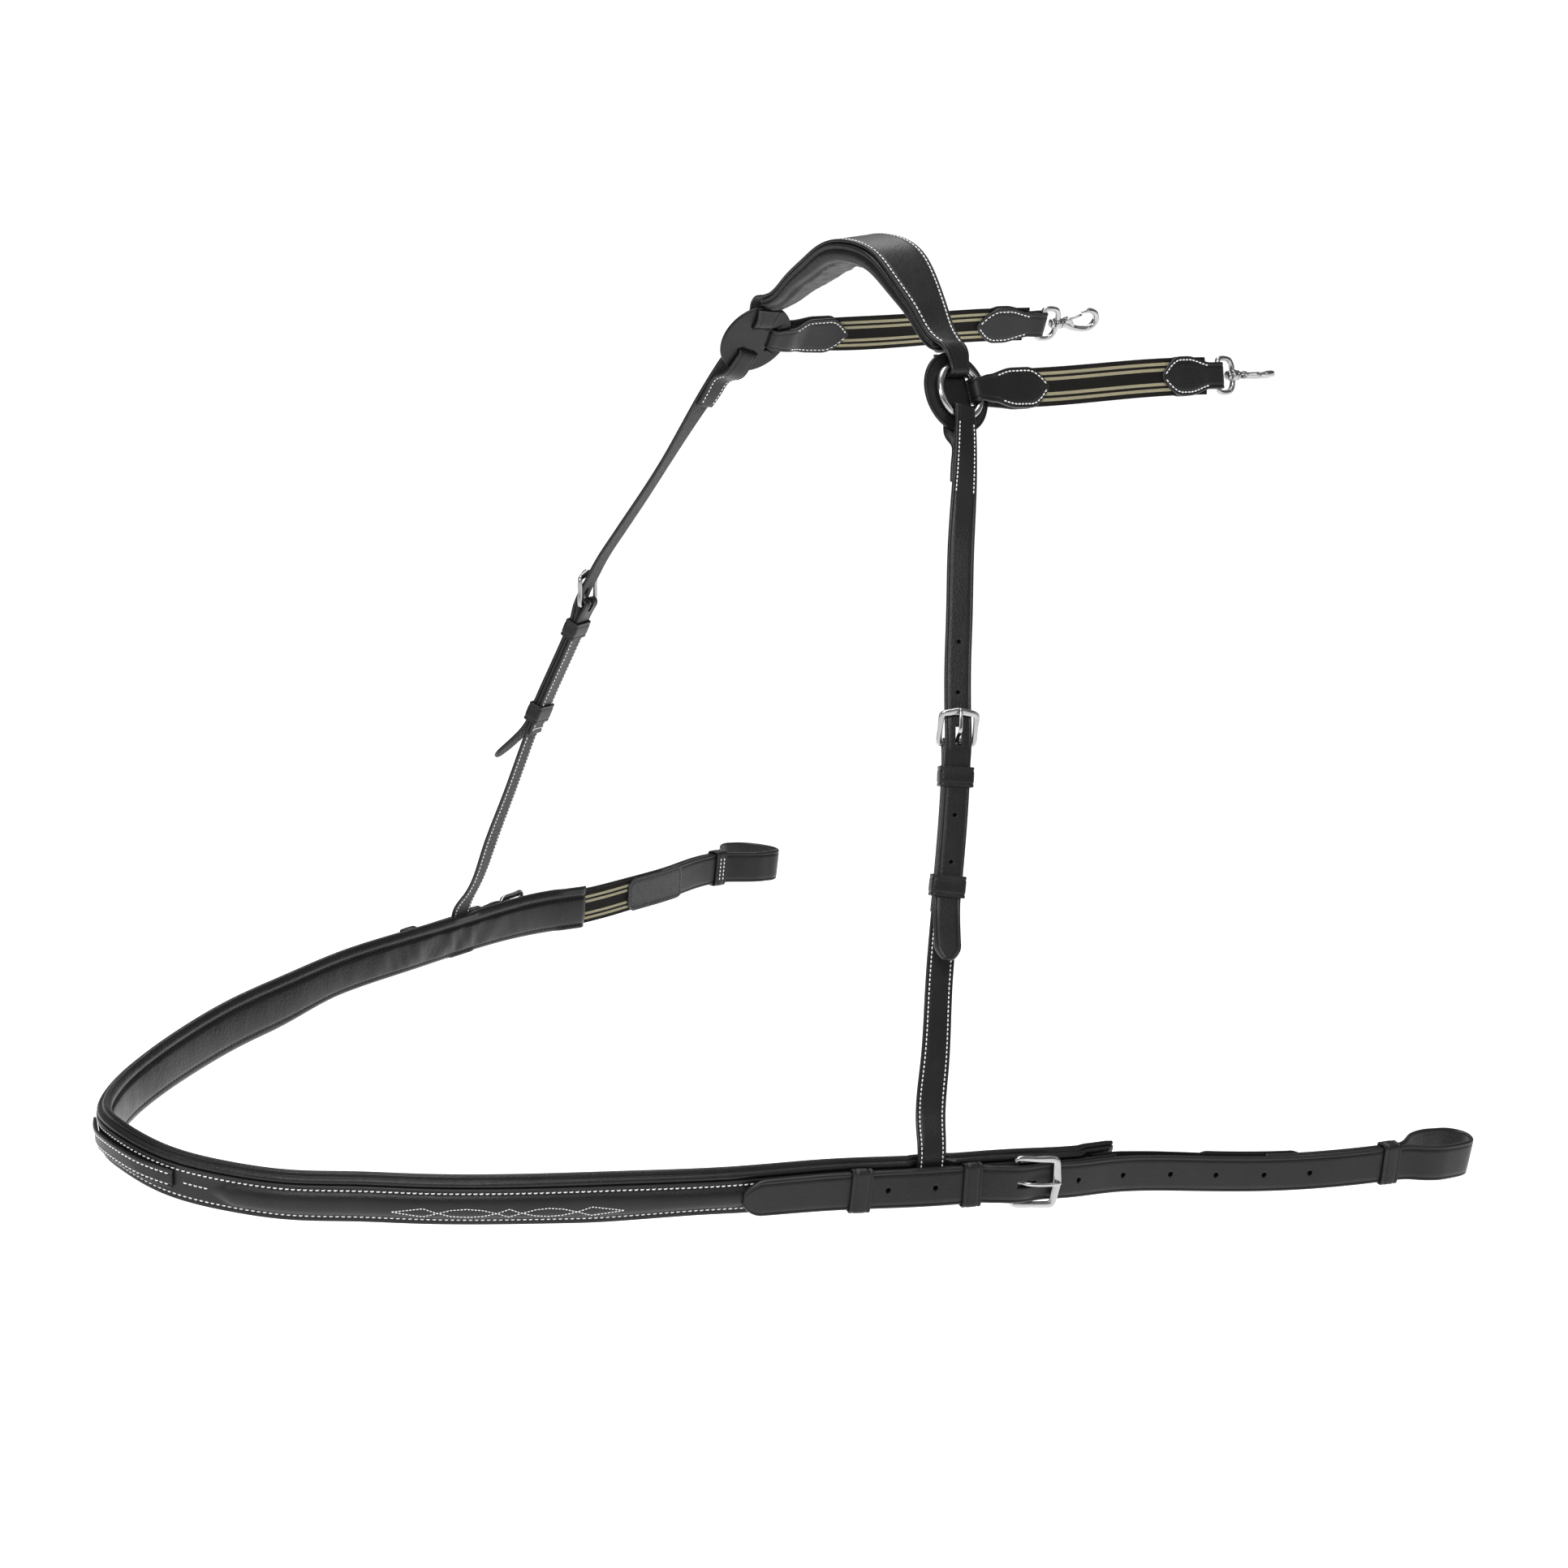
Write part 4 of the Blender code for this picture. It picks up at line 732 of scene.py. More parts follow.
class Thread:
    """Collects stitch lines into one piece."""

    def __init__(self):
        self.v, self.f, self.n = [], [], 0

    def add(self, points, ups, **kw):
        if len(points) < 2:
            return
        v, f = stitch_line(points, ups, **kw)
        self.v.append(v)
        self.f += [tuple(i + self.n for i in q) for q in f]
        self.n += len(v)

    def piece(self, name, mat, body, sgn=1):
        if not self.n:
            return None
        return make(name, np.concatenate(self.v), self.f, mat, sgn, body=body, slot="black_leather")


def detailed(name, ribbon, path, width, thick, sgn, body, nodes, mats=None, lines=(), under=(), radius=0.7,
             crown=0.0, step=2.0, cols=6, wave=None, slot="black_leather"):
    """A finished strap piece; returns the object and its locator."""
    v, f, z, uv, loc = strap_mesh(ribbon, path, width, thick, lines, under, radius, crown, step, cols, wave)
    # zone 3, the crease grooves, gets the darker crease leather: painted shade in the grooves
    mats = mats or [BLACK, EDGE, FLESH, CREASE_SHADE]
    obj = make(name, v, f, mats, sgn, face_mats=z, uvs=uv, body=body, nodes=nodes, slot=slot)
    recalc(obj)
    return obj, loc


def recalc(obj):
    bm = bmesh.new()
    bm.from_mesh(obj.data)
    bmesh.ops.recalc_face_normals(bm, faces=bm.faces)
    bm.to_mesh(obj.data)
    bm.free()


def cut_slot(obj, corners):
    """A slot through a strap, its walls left in the edge finish."""
    verts = [np.array(c) * MM for c in corners]
    faces = [(0, 1, 2, 3), (4, 5, 6, 7), (0, 1, 5, 4), (1, 2, 6, 5), (2, 3, 7, 6), (3, 0, 4, 7)]
    mesh = bpy.data.meshes.new("tool")
    mesh.from_pydata([tuple(v) for v in verts], [], faces)
    mesh.materials.append(EDGE)
    bm = bmesh.new()
    bm.from_mesh(mesh)
    bmesh.ops.recalc_face_normals(bm, faces=bm.faces)
    bm.to_mesh(mesh)
    bm.free()
    tool = bpy.data.objects.new("tool", mesh)
    bpy.context.scene.collection.objects.link(tool)
    boolean(obj, tool)


def boolean(obj, tool, operation="DIFFERENCE"):
    mod = obj.modifiers.new("cut", "BOOLEAN")
    mod.operation = operation
    mod.object = tool
    mod.solver = "EXACT"
    mod.material_mode = "TRANSFER"
    apply_modifiers(obj)
    bpy.data.objects.remove(tool, do_unlink=True)


def apply_modifiers(obj):
    dg = bpy.context.evaluated_depsgraph_get()
    mesh = bpy.data.meshes.new_from_object(obj.evaluated_get(dg))
    obj.modifiers.clear()
    old = obj.data
    obj.data = mesh
    mesh.name = old.name
    bpy.data.meshes.remove(old)


def block(ribbon, s0, s1, w0, w1, n0, n1, sgn):
    p, t, w, n = ribbon.frame((s0 + s1) / 2)
    m = (s0 + s1) / 2
    out = []
    for nn in (n0, n1):
        for ss, ww in ((s0, w0), (s1, w0), (s1, w1), (s0, w1)):
            out.append((p + t * (ss - m) + w * ww + n * nn) * (sgn, 1, 1))
    return out


def rod(points, up, rx, rz, sides=16, closed=False, power=2.0):
    """Rod with a superelliptical section: rx across in the plane, rz along up, each a number or a list."""
    p = np.array(points, float)
    n = len(p)
    up = unit(up)
    t = unit(np.roll(p, -1, axis=0) - np.roll(p, 1, axis=0)) if closed else unit(np.gradient(p, axis=0))
    side = unit(np.cross(t, up))
    rx = np.broadcast_to(np.asarray(rx, float), (n,))
    rz = np.broadcast_to(np.asarray(rz, float), (n,))
    a = 2 * math.pi * (np.arange(sides) + 0.5) / sides
    c, s = np.cos(a), np.sin(a)
    e = 2.0 / power
    c, s = np.sign(c) * abs(c) ** e, np.sign(s) * abs(s) ** e
    rings = p[:, None, :] + up * (rz[:, None] * c)[:, :, None] + side[:, None, :] * (rx[:, None] * s)[:, :, None]
    faces = grid_faces(n, sides, wrap_rows=closed)
    if not closed:
        faces.append(tuple(range(sides))[::-1])
        faces.append(tuple((n - 1) * sides + j for j in range(sides)))
    return rings.reshape(-1, 3), faces


def join(parts):
    verts, faces, n = [], [], 0
    for v, f in parts:
        verts.append(np.asarray(v, float))
        faces += [tuple(i + n for i in q) for q in f]
        n += len(v)
    return np.concatenate(verts), faces


def closed_curve(points, count):
    """Smooth closed curve through points (centripetal Catmull-Rom), evenly resampled."""
    p = np.array(points, float)
    n = len(p)
    out = []
    for i in range(n):
        p0, p1, p2, p3 = p[i - 1], p[i], p[(i + 1) % n], p[(i + 2) % n]
        t1 = np.linalg.norm(p1 - p0) ** 0.5
        t2 = t1 + np.linalg.norm(p2 - p1) ** 0.5
        t3 = t2 + np.linalg.norm(p3 - p2) ** 0.5
        for t in np.linspace(t1, t2, 12, endpoint=False):
            a1 = (t1 - t) / t1 * p0 + t / t1 * p1
            a2 = (t2 - t) / (t2 - t1) * p1 + (t - t1) / (t2 - t1) * p2
            a3 = (t3 - t) / (t3 - t2) * p2 + (t - t2) / (t3 - t2) * p3
            b1 = (t2 - t) / t2 * a1 + t / t2 * a2
            b2 = (t3 - t) / (t3 - t1) * a2 + (t - t1) / (t3 - t1) * a3
            out.append((t2 - t) / (t2 - t1) * b1 + (t - t1) / (t2 - t1) * b2)
    out = np.array(out)
    full = np.concatenate([out, out[:1]])
    d = np.concatenate([[0], np.cumsum(np.linalg.norm(np.diff(full, axis=0), axis=1))])
    at = np.linspace(0, d[-1], count, endpoint=False)
    return np.stack([np.interp(at, d, full[:, i]) for i in range(full.shape[1])], axis=1)


# ============================================================ the breast band
def ripple(s, w, seed=0.0):
    """Soft wrinkles of stuffed leather, the same each run."""
    return (0.45 * np.sin(s * 0.19 + 1.3 * np.sin(s * 0.047 + seed) + w * 0.10)
            + 0.30 * np.sin(s * 0.41 + 2.1 * np.sin(s * 0.083 + 2 * seed) - w * 0.17)
            + 0.18 * np.sin(s * 0.93 + w * 0.35 + 3 * seed))


def tuck(s):
    """The band draws up behind the girth billet toward its rear ends."""
    return mix(0.0, 4.0, (abs(s) - 300) / 90)


def band_edges(s):
    u = abs(s) / BAND_HALF
    full = BAND_WIDTH_FRONT + (BAND_WIDTH_REAR - BAND_WIDTH_FRONT) * u
    lo = -full / 2 + BAND_RIM + tuck(s)
    hi = full / 2 - BAND_RIM - 5.0
    return full, lo, hi


def band_top(s, w):
    """Height of the band's leather face: flat borders and a padded ridge between the seams."""
    full, lo, hi = band_edges(s)
    mid, half = (lo + hi) / 2 + 0.5, (hi - lo) / 2 - 4.6
    grow = mix(0, 1, (abs(s) - 74) / 16) * mix(1, 0, (abs(s) - 398) / 26)
    half = half * (0.25 + 0.75 * grow)
    x = abs(w - mid) / half
    rise = (1 - x * x) ** 0.62 if x < 1 else 0.0
    return BAND_LEATHER + (RIDGE_HEIGHT - BAND_LEATHER + 1.2) * rise * grow


def detailed_band(band):
    mid = band.length / 2
    ss = np.arange(-BAND_HALF, BAND_HALF + 0.01, 2.5)
    ss[-1] = BAND_HALF
    p, t, w, n = frames(band, mid + ss)
    verts, zones = [], None
    for i, s in enumerate(ss):
        full, lo, hi = band_edges(s)
        top = [lo + 0.8, lo + 2.0, lo + 3.1, lo + 3.5, lo + 4.3, lo + 4.7]
        top += list(np.linspace(lo + 5.4, hi - 4.6, 15))
        top += [hi - 3.9, hi - 3.5, hi - 2.7, hi - 2.3, hi - 1.5, hi - 0.8]
        sec = [(lo + 0.6, 0.15), (hi - 0.6, 0.15)]
        for a in (-55, -15, 20, 60):
            a = math.radians(a)
            sec.append((hi - 0.8 + 0.8 * math.cos(a), (0.95 if a < 0 else BAND_LEATHER - 0.8) + 0.8 * math.sin(a)))
        zone = [2, 1, 1, 1, 1, 1]
        cols = top[::-1]
        for k, x in enumerate(cols):
            dip = 0.45 if k in (3, 2) or k in (len(cols) - 4, len(cols) - 3) else 0.0
            sec.append((x, band_top(s, x) - dip))
            zone.append(0)
        for a in (120, 160, 195, 235):
            a = math.radians(a)
            sec.append((lo + 0.8 + 0.8 * math.cos(a), (BAND_LEATHER - 0.8 if math.sin(a) > 0 else 0.95) + 0.8 * math.sin(a)))
            zone.append(1)
        a = np.array(sec)
        if i in (0, len(ss) - 1):
            a[:, 1] = 1.4 + (a[:, 1] - 1.4) * 0.75
        verts.append(p[i] + w[i] * a[:, :1] + n[i] * a[:, 1:])
    k = len(verts[0])
    faces = grid_faces(len(ss), k)
    fm = [zone[j] for _ in range(len(ss) - 1) for j in range(k)]
    faces += [tuple(range(k))[::-1], tuple((len(ss) - 1) * k + j for j in range(k))]
    fm += [1, 1]
    obj = make("breast_band_leather", np.concatenate(verts), faces, [BLACK, EDGE, FLESH, CREASE_SHADE], face_mats=fm,
               body="harness", nodes=["breast_band_outer"], slot="black_leather")
    recalc(obj)

    # lining: rolled upper edge, sewn channels, stuffed middle
    verts = []
    ss = np.arange(-BAND_HALF, BAND_HALF + 0.01, 3.0)
    ss[-1] = BAND_HALF
    p, t, w, n = frames(band, mid + ss)
    for i, s in enumerate(ss):
        full, lo, hi = band_edges(s)
        W, T, r = full / 2, BAND_PAD, relief(s)
        sec = [(lo + 1.0, -0.2 - r), (0.0, -0.2 - r), (hi - 0.4, -0.2 - r)]
        for a in np.radians([150, 110, 75, 40, 5, -30]):
            sec.append((hi + 2.0 + 2.1 * math.cos(a), -0.3 + 2.1 * math.sin(a) * (1 - 0.5 * r / 3) - r))
        sec += [(hi + 4.1, -2.4 - r * 0.9)]
        for a in np.radians([75, 45, 15, -15, -45, -75]):
            sec.append((W - 2.4 + 2.4 * math.cos(a), -4.3 - r * 0.5 + 2.3 * math.sin(a)))
        sec += [(W - 3.4, -T + 0.75), (W - 4.8, -T + 0.35), (W - 6.2, -T + 0.7), (W - 7.0, -T + 1.5), (W - 7.7, -T + 2.6), (W - 8.4, -T + 1.9)]
        mids = np.linspace(W - 9.4, -W + 6.6, 15)
        fuss = 0.12 + 1.5 * math.exp(-((abs(s) - 505) / 70.0) ** 2)
        for x in mids:
            q = max(1 - ((x + 1.4) / (W - 6.3)) ** 2, 0)
            sec.append((x, -T + 1.3 - 1.7 * q ** 0.6 + ripple(s, x) * fuss * q ** 0.5))
        sec += [(-W + 5.4, -T + 1.5), (-W + 4.7, -T + 2.0), (-W + 4.0, -T + 1.5)]
        for a in np.radians([-105, -135, -165, 165, 135, 105]):
            sec.append((-W + 2.4 + 2.4 * math.cos(a), -3.2 - r * 0.5 + 2.6 * math.sin(a)))
        a = np.array(sec)
        if i in (0, len(ss) - 1):
            a[:, 1] = -3.6 + (a[:, 1] + 3.6) * 0.6
        a[:, 0] = np.where(a[:, 0] < 0, a[:, 0] * (1 - tuck(s) / W), a[:, 0])
        verts.append(p[i] + w[i] * a[:, :1] + n[i] * a[:, 1:])
    k = len(verts[0])
    faces = grid_faces(len(ss), k)
    faces += [tuple(range(k))[::-1], tuple((len(ss) - 1) * k + j for j in range(k))]
    obj = make("breast_band_padding", np.concatenate(verts), faces, [SOFT], body="harness", nodes=["breast_band_lining"],
               slot="padded_lining")
    recalc(obj)

    # seams: two white rows on the leather, the figured rows on the ridge, dark rows in the lining's channels
    white, fine, dark = Thread(), Thread(), Thread()

    def row(off, lo_side, s0, s1, step=2.0):
        s = np.arange(s0, s1, step)
        pp, tt, ww, nn = frames(band, mid + s)
        x = np.array([band_edges(q)[1] + off if lo_side else band_edges(q)[2] - off for q in s])
        return pp + ww * x[:, None] + nn * (BAND_LEATHER - 0.45), nn

    for lo_side, off in ((True, 3.9), (False, 3.1)):
        pts, up = row(off, lo_side, -BAND_HALF + 4, BAND_HALF - 4)
        white.add(pts, up, pitch=3.7, r=0.5, lift=0.35, slant=0.10)
    for sg in (-1, 1):
        for amp in (-1, 1):
            knots = [(185.5, 0), (204.5, 3.3), (212.5, 0.4), (221, -2.4), (231, -3.3), (241, -2.4), (249.5, 0), (257, 3.2),
                     (263.5, 0.4), (273, -2.5), (281.5, -3.3), (290, -2.5), (299, 0), (308, 3.4), (328.5, 0)]
            line = []
            for (s0, a0), (s1, a1) in zip(knots[:-1], knots[1:]):
                for u in np.linspace(0, 1, 9)[:-1]:
                    line.append((s0 + (s1 - s0) * u, a0 + (a1 - a0) * u))
            line.append(knots[-1])
            line = np.array(line)
            s = line[:, 0] * sg
            x = -4.3 + line[:, 1] * amp
            pp, tt, ww, nn = frames(band, mid + s)
            h = np.array([band_top(a, b) for a, b in zip(s, x)])
            slope = np.array([(band_top(a, b + 0.3) - band_top(a, b - 0.3)) / 0.6 for a, b in zip(s, x)])
            fine.add(pp + ww * x[:, None] + nn * h[:, None], unit(nn - ww * slope[:, None]), pitch=2.15, r=0.33, lift=0.12, fill=0.7)
        # the row that holds the end of the chest strap
        s = np.linspace(56, 73, 8) * sg
        pp, tt, ww, nn = frames(band, mid + s)
        white.add(pp + ww * -1.2 + nn * (BAND_LEATHER + 0.1), nn, pitch=3.4, r=0.5, lift=0.2)
    s = np.arange(-BAND_HALF + 6, BAND_HALF - 6, 3.0)
    pp, tt, ww, nn = frames(band, mid + s)
    for side in (-1, 1):
        x = np.array([band_edges(q)[0] / 2 - 7.7 if side > 0 else -(band_edges(q)[0] / 2 - 4.7) * (1 - tuck(q) / (band_edges(q)[0] / 2)) for q in s])
        dark.add(pp + ww * x[:, None] - nn * (BAND_PAD - (2.5 if side > 0 else 2.0)), -nn, pitch=3.9, r=0.42, lift=0.3)
    white.piece("breast_band_seams", WHITE, "harness")
    fine.piece("breast_band_figured_stitching", WHITE, "harness")
    dark.piece("breast_band_channel_stitching", DARKTHREAD, "harness")


def detailed_front_loop(band):
    mid = band.length / 2
    base = BAND_LEATHER + 0.3 + GAP + 1.0
    path = [(mid + s, base + mix(0, FRONT_LOOP_LIFT, (FRONT_LOOP_HALF - abs(s)) / 30)) for s in
            np.linspace(-FRONT_LOOP_HALF, FRONT_LOOP_HALF, 41)]
    obj, loc = detailed("chest_loop_strap", band, path, 13.0, 2.0, 1, "harness", ["front_loop_strap"],
                        lines=[(2.6, 0.6, 0.22)])
    rows = Thread()
    d = np.arange(2, loc.length - 2, 1.5)
    for sg in (-1, 1):
        pts, up = loc(d, sg * 3.9, 1.0 - 0.15)
        rows.add(pts, up, pitch=3.6, r=0.46, lift=0.25)
    rows.piece("chest_loop_stitching", WHITE, "harness")


# ============================================================ keepers, buckles
def detailed_keeper(name, ribbon, s_mid, length, w_half, n0, n1, sgn, body, node, thick=1.4, rows=None):
    """Leather loop with rounded corners, a crowned face and a crease by each edge."""
    p, t, w, n = ribbon.frame(s_mid)
    c = 1.0
    loop = []
    for cx, cy, a0 in ((w_half - c, n1 - c, 0), (-w_half + c, n1 - c, 90), (-w_half + c, n0 + c, 180), (w_half - c, n0 + c, 270)):
        for a in np.radians(np.linspace(a0, a0 + 90, 6)):
            loop.append((cx + c * math.cos(a), cy + c * math.sin(a), math.cos(a), math.sin(a)))
        # points between the corners come from the next corner's start
    full = []
    for i in range(len(loop)):
        a, b = np.array(loop[i]), np.array(loop[(i + 1) % len(loop)])
        gap = np.linalg.norm(a[:2] - b[:2])
        k = max(1, int(gap / 2.0))
        for j in range(k):
            full.append(a + (b - a) * j / k)
    full = np.array(full)
    full[:, 2:] = unit(full[:, 2:])
    L, r = length / 2, thick * 0.45
    prof = [(-L + r, 0.0), (L - r, 0.0)]
    prof += [(L - r + r * math.cos(a), r + r * math.sin(a)) for a in np.radians([-50, 0])]
    prof += [(L - r + r * math.cos(a), thick - r + r * math.sin(a)) for a in np.radians([20, 60, 90])]
    for x, d in ((L - 1.7, 0), (L - 2.1, 0.3), (L - 2.5, 0.3), (L - 2.9, 0), (L * 0.3, -0.12), (-L * 0.3, -0.12), (-L + 2.9, 0),
                 (-L + 2.5, 0.3), (-L + 2.1, 0.3), (-L + 1.7, 0)):
        prof.append((x, thick - d))
    prof += [(-L + r + r * math.cos(a), thick - r + r * math.sin(a)) for a in np.radians([90, 120, 160])]
    prof += [(-L + r + r * math.cos(a), r + r * math.sin(a)) for a in np.radians([180, 230])]
    verts = []
    for x, y, ox, oy in full:
        for s, o in prof:
            verts.append(p + t * s + w * (x + ox * o) + n * (y + oy * o))
    faces = grid_faces(len(full), len(prof), wrap_rows=True)
    obj = make(name, verts, faces, [BLACK], sgn, body=body, nodes=[node], slot="black_leather")
    recalc(obj)
    if rows:
        th = Thread()
        for x0, x1, s in rows:
            xs = np.linspace(x0, x1, 9)
            pts = [p + t * s + w * x + n * (n0 - thick) for x in xs]
            th.add(pts, [-n] * len(pts), pitch=3.0, r=0.5, lift=0.2)
        th.piece(name + "_stitching", WHITE, body, sgn)
    return obj


def detailed_buckle(kind, side, ribbon, s_bar, n_bar, n_free, way, sgn, tongue_body):
    b = BUCKLES[kind]
    p, t, w, n = ribbon.frame(s_bar)
    t = t * way
    c = p + n * n_bar
    lean = unit(t * b["free_t"] + n * (n_free - n_bar))
    up = np.cross(lean, w)
    length = math.hypot(b["free_t"], n_free - n_bar)
    half, wr = b["half"], b["wire_r"]
    r_c = 2.6
    key = [(0, -half * 0.5, 0), (0, half * 0.5, 0), (0, half - 0.6, 0.2), (1.6, half, 1), (length * 0.5, half + 0.1, 1)]
    for a in (15, 45, 75):
        a = math.radians(a)
        key.append((length - r_c + r_c * math.sin(a), half - r_c + r_c * math.cos(a), 1.4))
    key += [(length + 0.7, half * 0.45, 1.8), (length + 1.5, 0, 2.0), (length + 0.7, -half * 0.45, 1.8)]
    for a in (75, 45, 15):
        a = math.radians(a)
        key.append((length - r_c + r_c * math.sin(a), -(half - r_c + r_c * math.cos(a)), 1.4))
    key += [(length * 0.5, -half - 0.1, 1), (1.6, -half, 1), (0, -half + 0.6, 0.2)]
    curve = closed_curve(key, 150)
    pts = [c + lean * x + w * y for x, y, _ in curve]
    flat = curve[:, 2]
    rx = np.interp(flat, [0, 1, 1.4, 2.0], [b["bar_r"], wr * 1.02, wr * 1.22, wr * 1.42])
    rz = np.interp(flat, [0, 1, 1.4, 2.0], [b["bar_r"], wr * 0.84, wr * 0.80, wr * 0.76])
    v, f = rod(pts, up, rx, rz, 20, closed=True, power=2.7)
    obj = make(kind + "_buckle_" + side, v, f, STEEL, sgn, body="harness", nodes=[kind + "_buckle_frame_" + side], slot="polished_steel")
    recalc(obj)

    hook_r = b["bar_r"] + GAP + 0.6
    ft = b["free_t"]
    free_top = (n_free - n_bar) * (1 + 1.6 / length) + wr + 0.45 + 1.1
    path = arc(0, 0, hook_r, -20, -285, 12)
    blade = [path[-1], (ft * 0.12, hook_r + 0.9), (ft * 0.24, hook_r + 3.0), (ft * 0.4, free_top - 0.9),
             (ft * 0.6, free_top + 0.1), (ft, free_top), (ft + wr + 1.4, free_top - 0.8)]
    q = spline([tuple(x) + (0.0,) for x in path + blade[1:]], 70)[:, :2]
    d = np.linspace(0, 1, len(q))
    pts = [c + t * x + n * y for x, y in q]
    rx = np.interp(d, [0, 0.3, 0.6, 0.9, 0.97, 1], [1.1, 1.2, 1.25, 1.25, 1.05, 0.6])
    rz = np.interp(d, [0, 0.3, 0.6, 0.9, 0.97, 1], [0.55, 0.6, 0.85, 0.95, 0.85, 0.45])
    # rod's up is the width direction, so rx and rz change places
    v, f = rod(pts, w, rz, rx, 14, power=2.6)
    obj = make(kind + "_tongue_" + side, v, f, STEEL, sgn, body=tongue_body, nodes=[kind + "_buckle_tongue_" + side], slot="polished_steel")
    recalc(obj)


def punch(obj, loc, stations, thick, sgn, r=1.8, sides=18, blind=False):
    """Punched holes, cut in one go; blind ones stop short of a backing layer."""
    verts, faces = [], []
    h = thick / 2 + 0.7
    for d in stations:
        (pt,), (up,) = loc([d], 0.0, 0.0)
        (pa,), _ = loc([d + 0.5], 0.0, 0.0)
        x = unit(pa - pt)
        y = np.cross(up, x)
        n0 = len(verts)
        for z in (0.6 - thick / 2 if blind else -h, h):
            for j in range(sides):
                a = 2 * math.pi * j / sides
                verts.append((pt + r * (x * math.cos(a) + y * math.sin(a)) + up * z) * (sgn, 1, 1))
        faces += grid_faces(2, sides, start=n0)
        faces += [tuple(n0 + j for j in range(sides))[::-1], tuple(n0 + sides + j for j in range(sides))]
    mesh = bpy.data.meshes.new("punch")
    mesh.from_pydata([tuple(v * MM) for v in verts], [], faces)
    # the hole walls and the floors of blind holes take the near-black hole material: painted shade
    mesh.materials.append(HOLE_SHADE)
    bm = bmesh.new()
    bm.from_mesh(mesh)
    bmesh.ops.recalc_face_normals(bm, faces=bm.faces)
    bm.to_mesh(mesh)
    bm.free()
    tool = bpy.data.objects.new("punch", mesh)
    bpy.context.scene.collection.objects.link(tool)
    boolean(obj, tool)


# ============================================================ girth side
def detailed_girth(side, sgn, tail):
    g = girth_ribbon(tail)
    s_bar = g.s_at_y(GIRTH_BAR_Y)
    s_tip = g.s_at_y(BILLET_TIP_Y)
    s_kf = g.s_at_y(KEEPER_FRONT_Y)
    s_end = BAND_HALF
    s_tab0, s_tab1 = g.s_at_y(TAB_START_Y), g.s_at_y(TAB_END_Y)
    s_k = g.s_at_y(GIRTH_KEEPER_Y)
    s_kr = s_bar - 31.0
    low = BAND_LEATHER + 0.3 + GAP
    kt = 1.4
    lie = low + kt + GAP + BILLET_THICK / 2
    n_bar = low + 1.2 + GAP + 1.5
    over = n_bar + 1.5 + GAP + 1.2 + GAP + BILLET_THICK / 2
    lean, inner, reach = GIRTH_LOOP_LEAN[side]
    out, back = 6.6, 2.6
    # billet: point, keepers, buckle, girth loop, back to the tab
    route = [(s_tip, lie), (s_tip + 4, lie), (s_tip + 9, lie), (s_tip + 16, lie), (s_kf - 20, lie),
             (s_kf, lie), (s_kf + 25, lie), (s_kr - 10, lie), (s_kr, lie), (s_kr + 7.5, lie),
             (s_bar - 17, lie + 1.9), (s_bar - 11, over - 1.6), (s_bar - 5, over - 0.2), (s_bar, over),
             (s_bar + 5, over - 0.5), (s_bar + 13, lie + 2.0), (s_bar + 21, lie + 0.3), (s_bar + 27, lie),
             (s_bar + 33, lie), (s_bar + 55, lie), (s_end + 30, out + 0.5), (s_tab1, out),
             (s_k - 8, out), (s_k, out), (s_k + 8, out + 0.2), (s_k + 16, out + 2.6 + lean * 0.3),
             (s_k + 25, out + 8.0 + lean * 0.75), (s_k + 37, out + 11.5 + lean),
             (s_k + 49 + reach * 0.6, out + 10 + lean), (s_k + 60 + reach, out + 5.5 + lean * 0.8),
             (s_k + 66 + reach, out - 1 + lean * 0.5 + inner * 0.4),
             (s_k + 67 + reach, out - 6.5 + inner), (s_k + 63.5 + reach, out - 12 + inner),
             (s_k + 56 + reach, out - 15.5 + inner), (s_k + 42 + reach * 0.6, out - 16 + inner),
             (s_k + 28, out - 12.5 + inner * 0.8), (s_k + 17, out - 7 + inner * 0.2),
             (s_k + 9, back - 0.1), (s_k, back), (s_k - 8, back),
             (s_k - 30, back), (s_tab1 - 26, back)]
    path = easy(route, step=12)

    def width(q, d):
        u = np.clip(d / 13.0, 0, 1)
        return 9.0 + (BILLET_WIDTH - 9.0) * np.sin(u * math.pi / 2) ** 0.75

    obj, loc = detailed("girth_billet_strap_" + side, g, path, width, BILLET_THICK, sgn, "harness", ["girth_billet_" + side],
                        lines=[(2.3, 0.55, 0.28)], radius=1.1, crown=0.12, cols=8)
    cut_slot(obj, block(g, s_bar - 1.0, s_bar + 13.5, -2.0, 2.0, over - 7, over + 5, sgn))
    far = loc.at_s(s_k, hi=loc.length * 0.62)
    spots = [loc.at_s(s, hi=far) for s in (499, 532, 633, 670, 706, 741, 776, 808)]
    punch(obj, loc, spots, BILLET_THICK, sgn, r=1.75)

    detailed_keeper("band_keeper_loop_front_" + side, g, s_kf, 14, BILLET_WIDTH / 2 + 0.6,
                    lie - BILLET_THICK / 2 - GAP, lie + BILLET_THICK / 2 + 0.6, sgn, "harness", "band_keeper_front_" + side)
    detailed_keeper("band_keeper_loop_rear_" + side, g, s_kr, 13, BILLET_WIDTH / 2 + 0.6,
                    lie - BILLET_THICK / 2 - GAP, lie + BILLET_THICK / 2 + 0.6, sgn, "harness", "band_keeper_rear_" + side)
    detailed_keeper("girth_keeper_loop_" + side, g, s_k, 13, BILLET_WIDTH / 2 + 0.4,
                    back - BILLET_THICK / 2 - 0.5, out + BILLET_THICK / 2 + 0.5, sgn, "harness", "girth_loop_keeper_" + side,
                    rows=[(-9.5, 9.5, -2.1), (-9.5, 9.5, 2.3)])

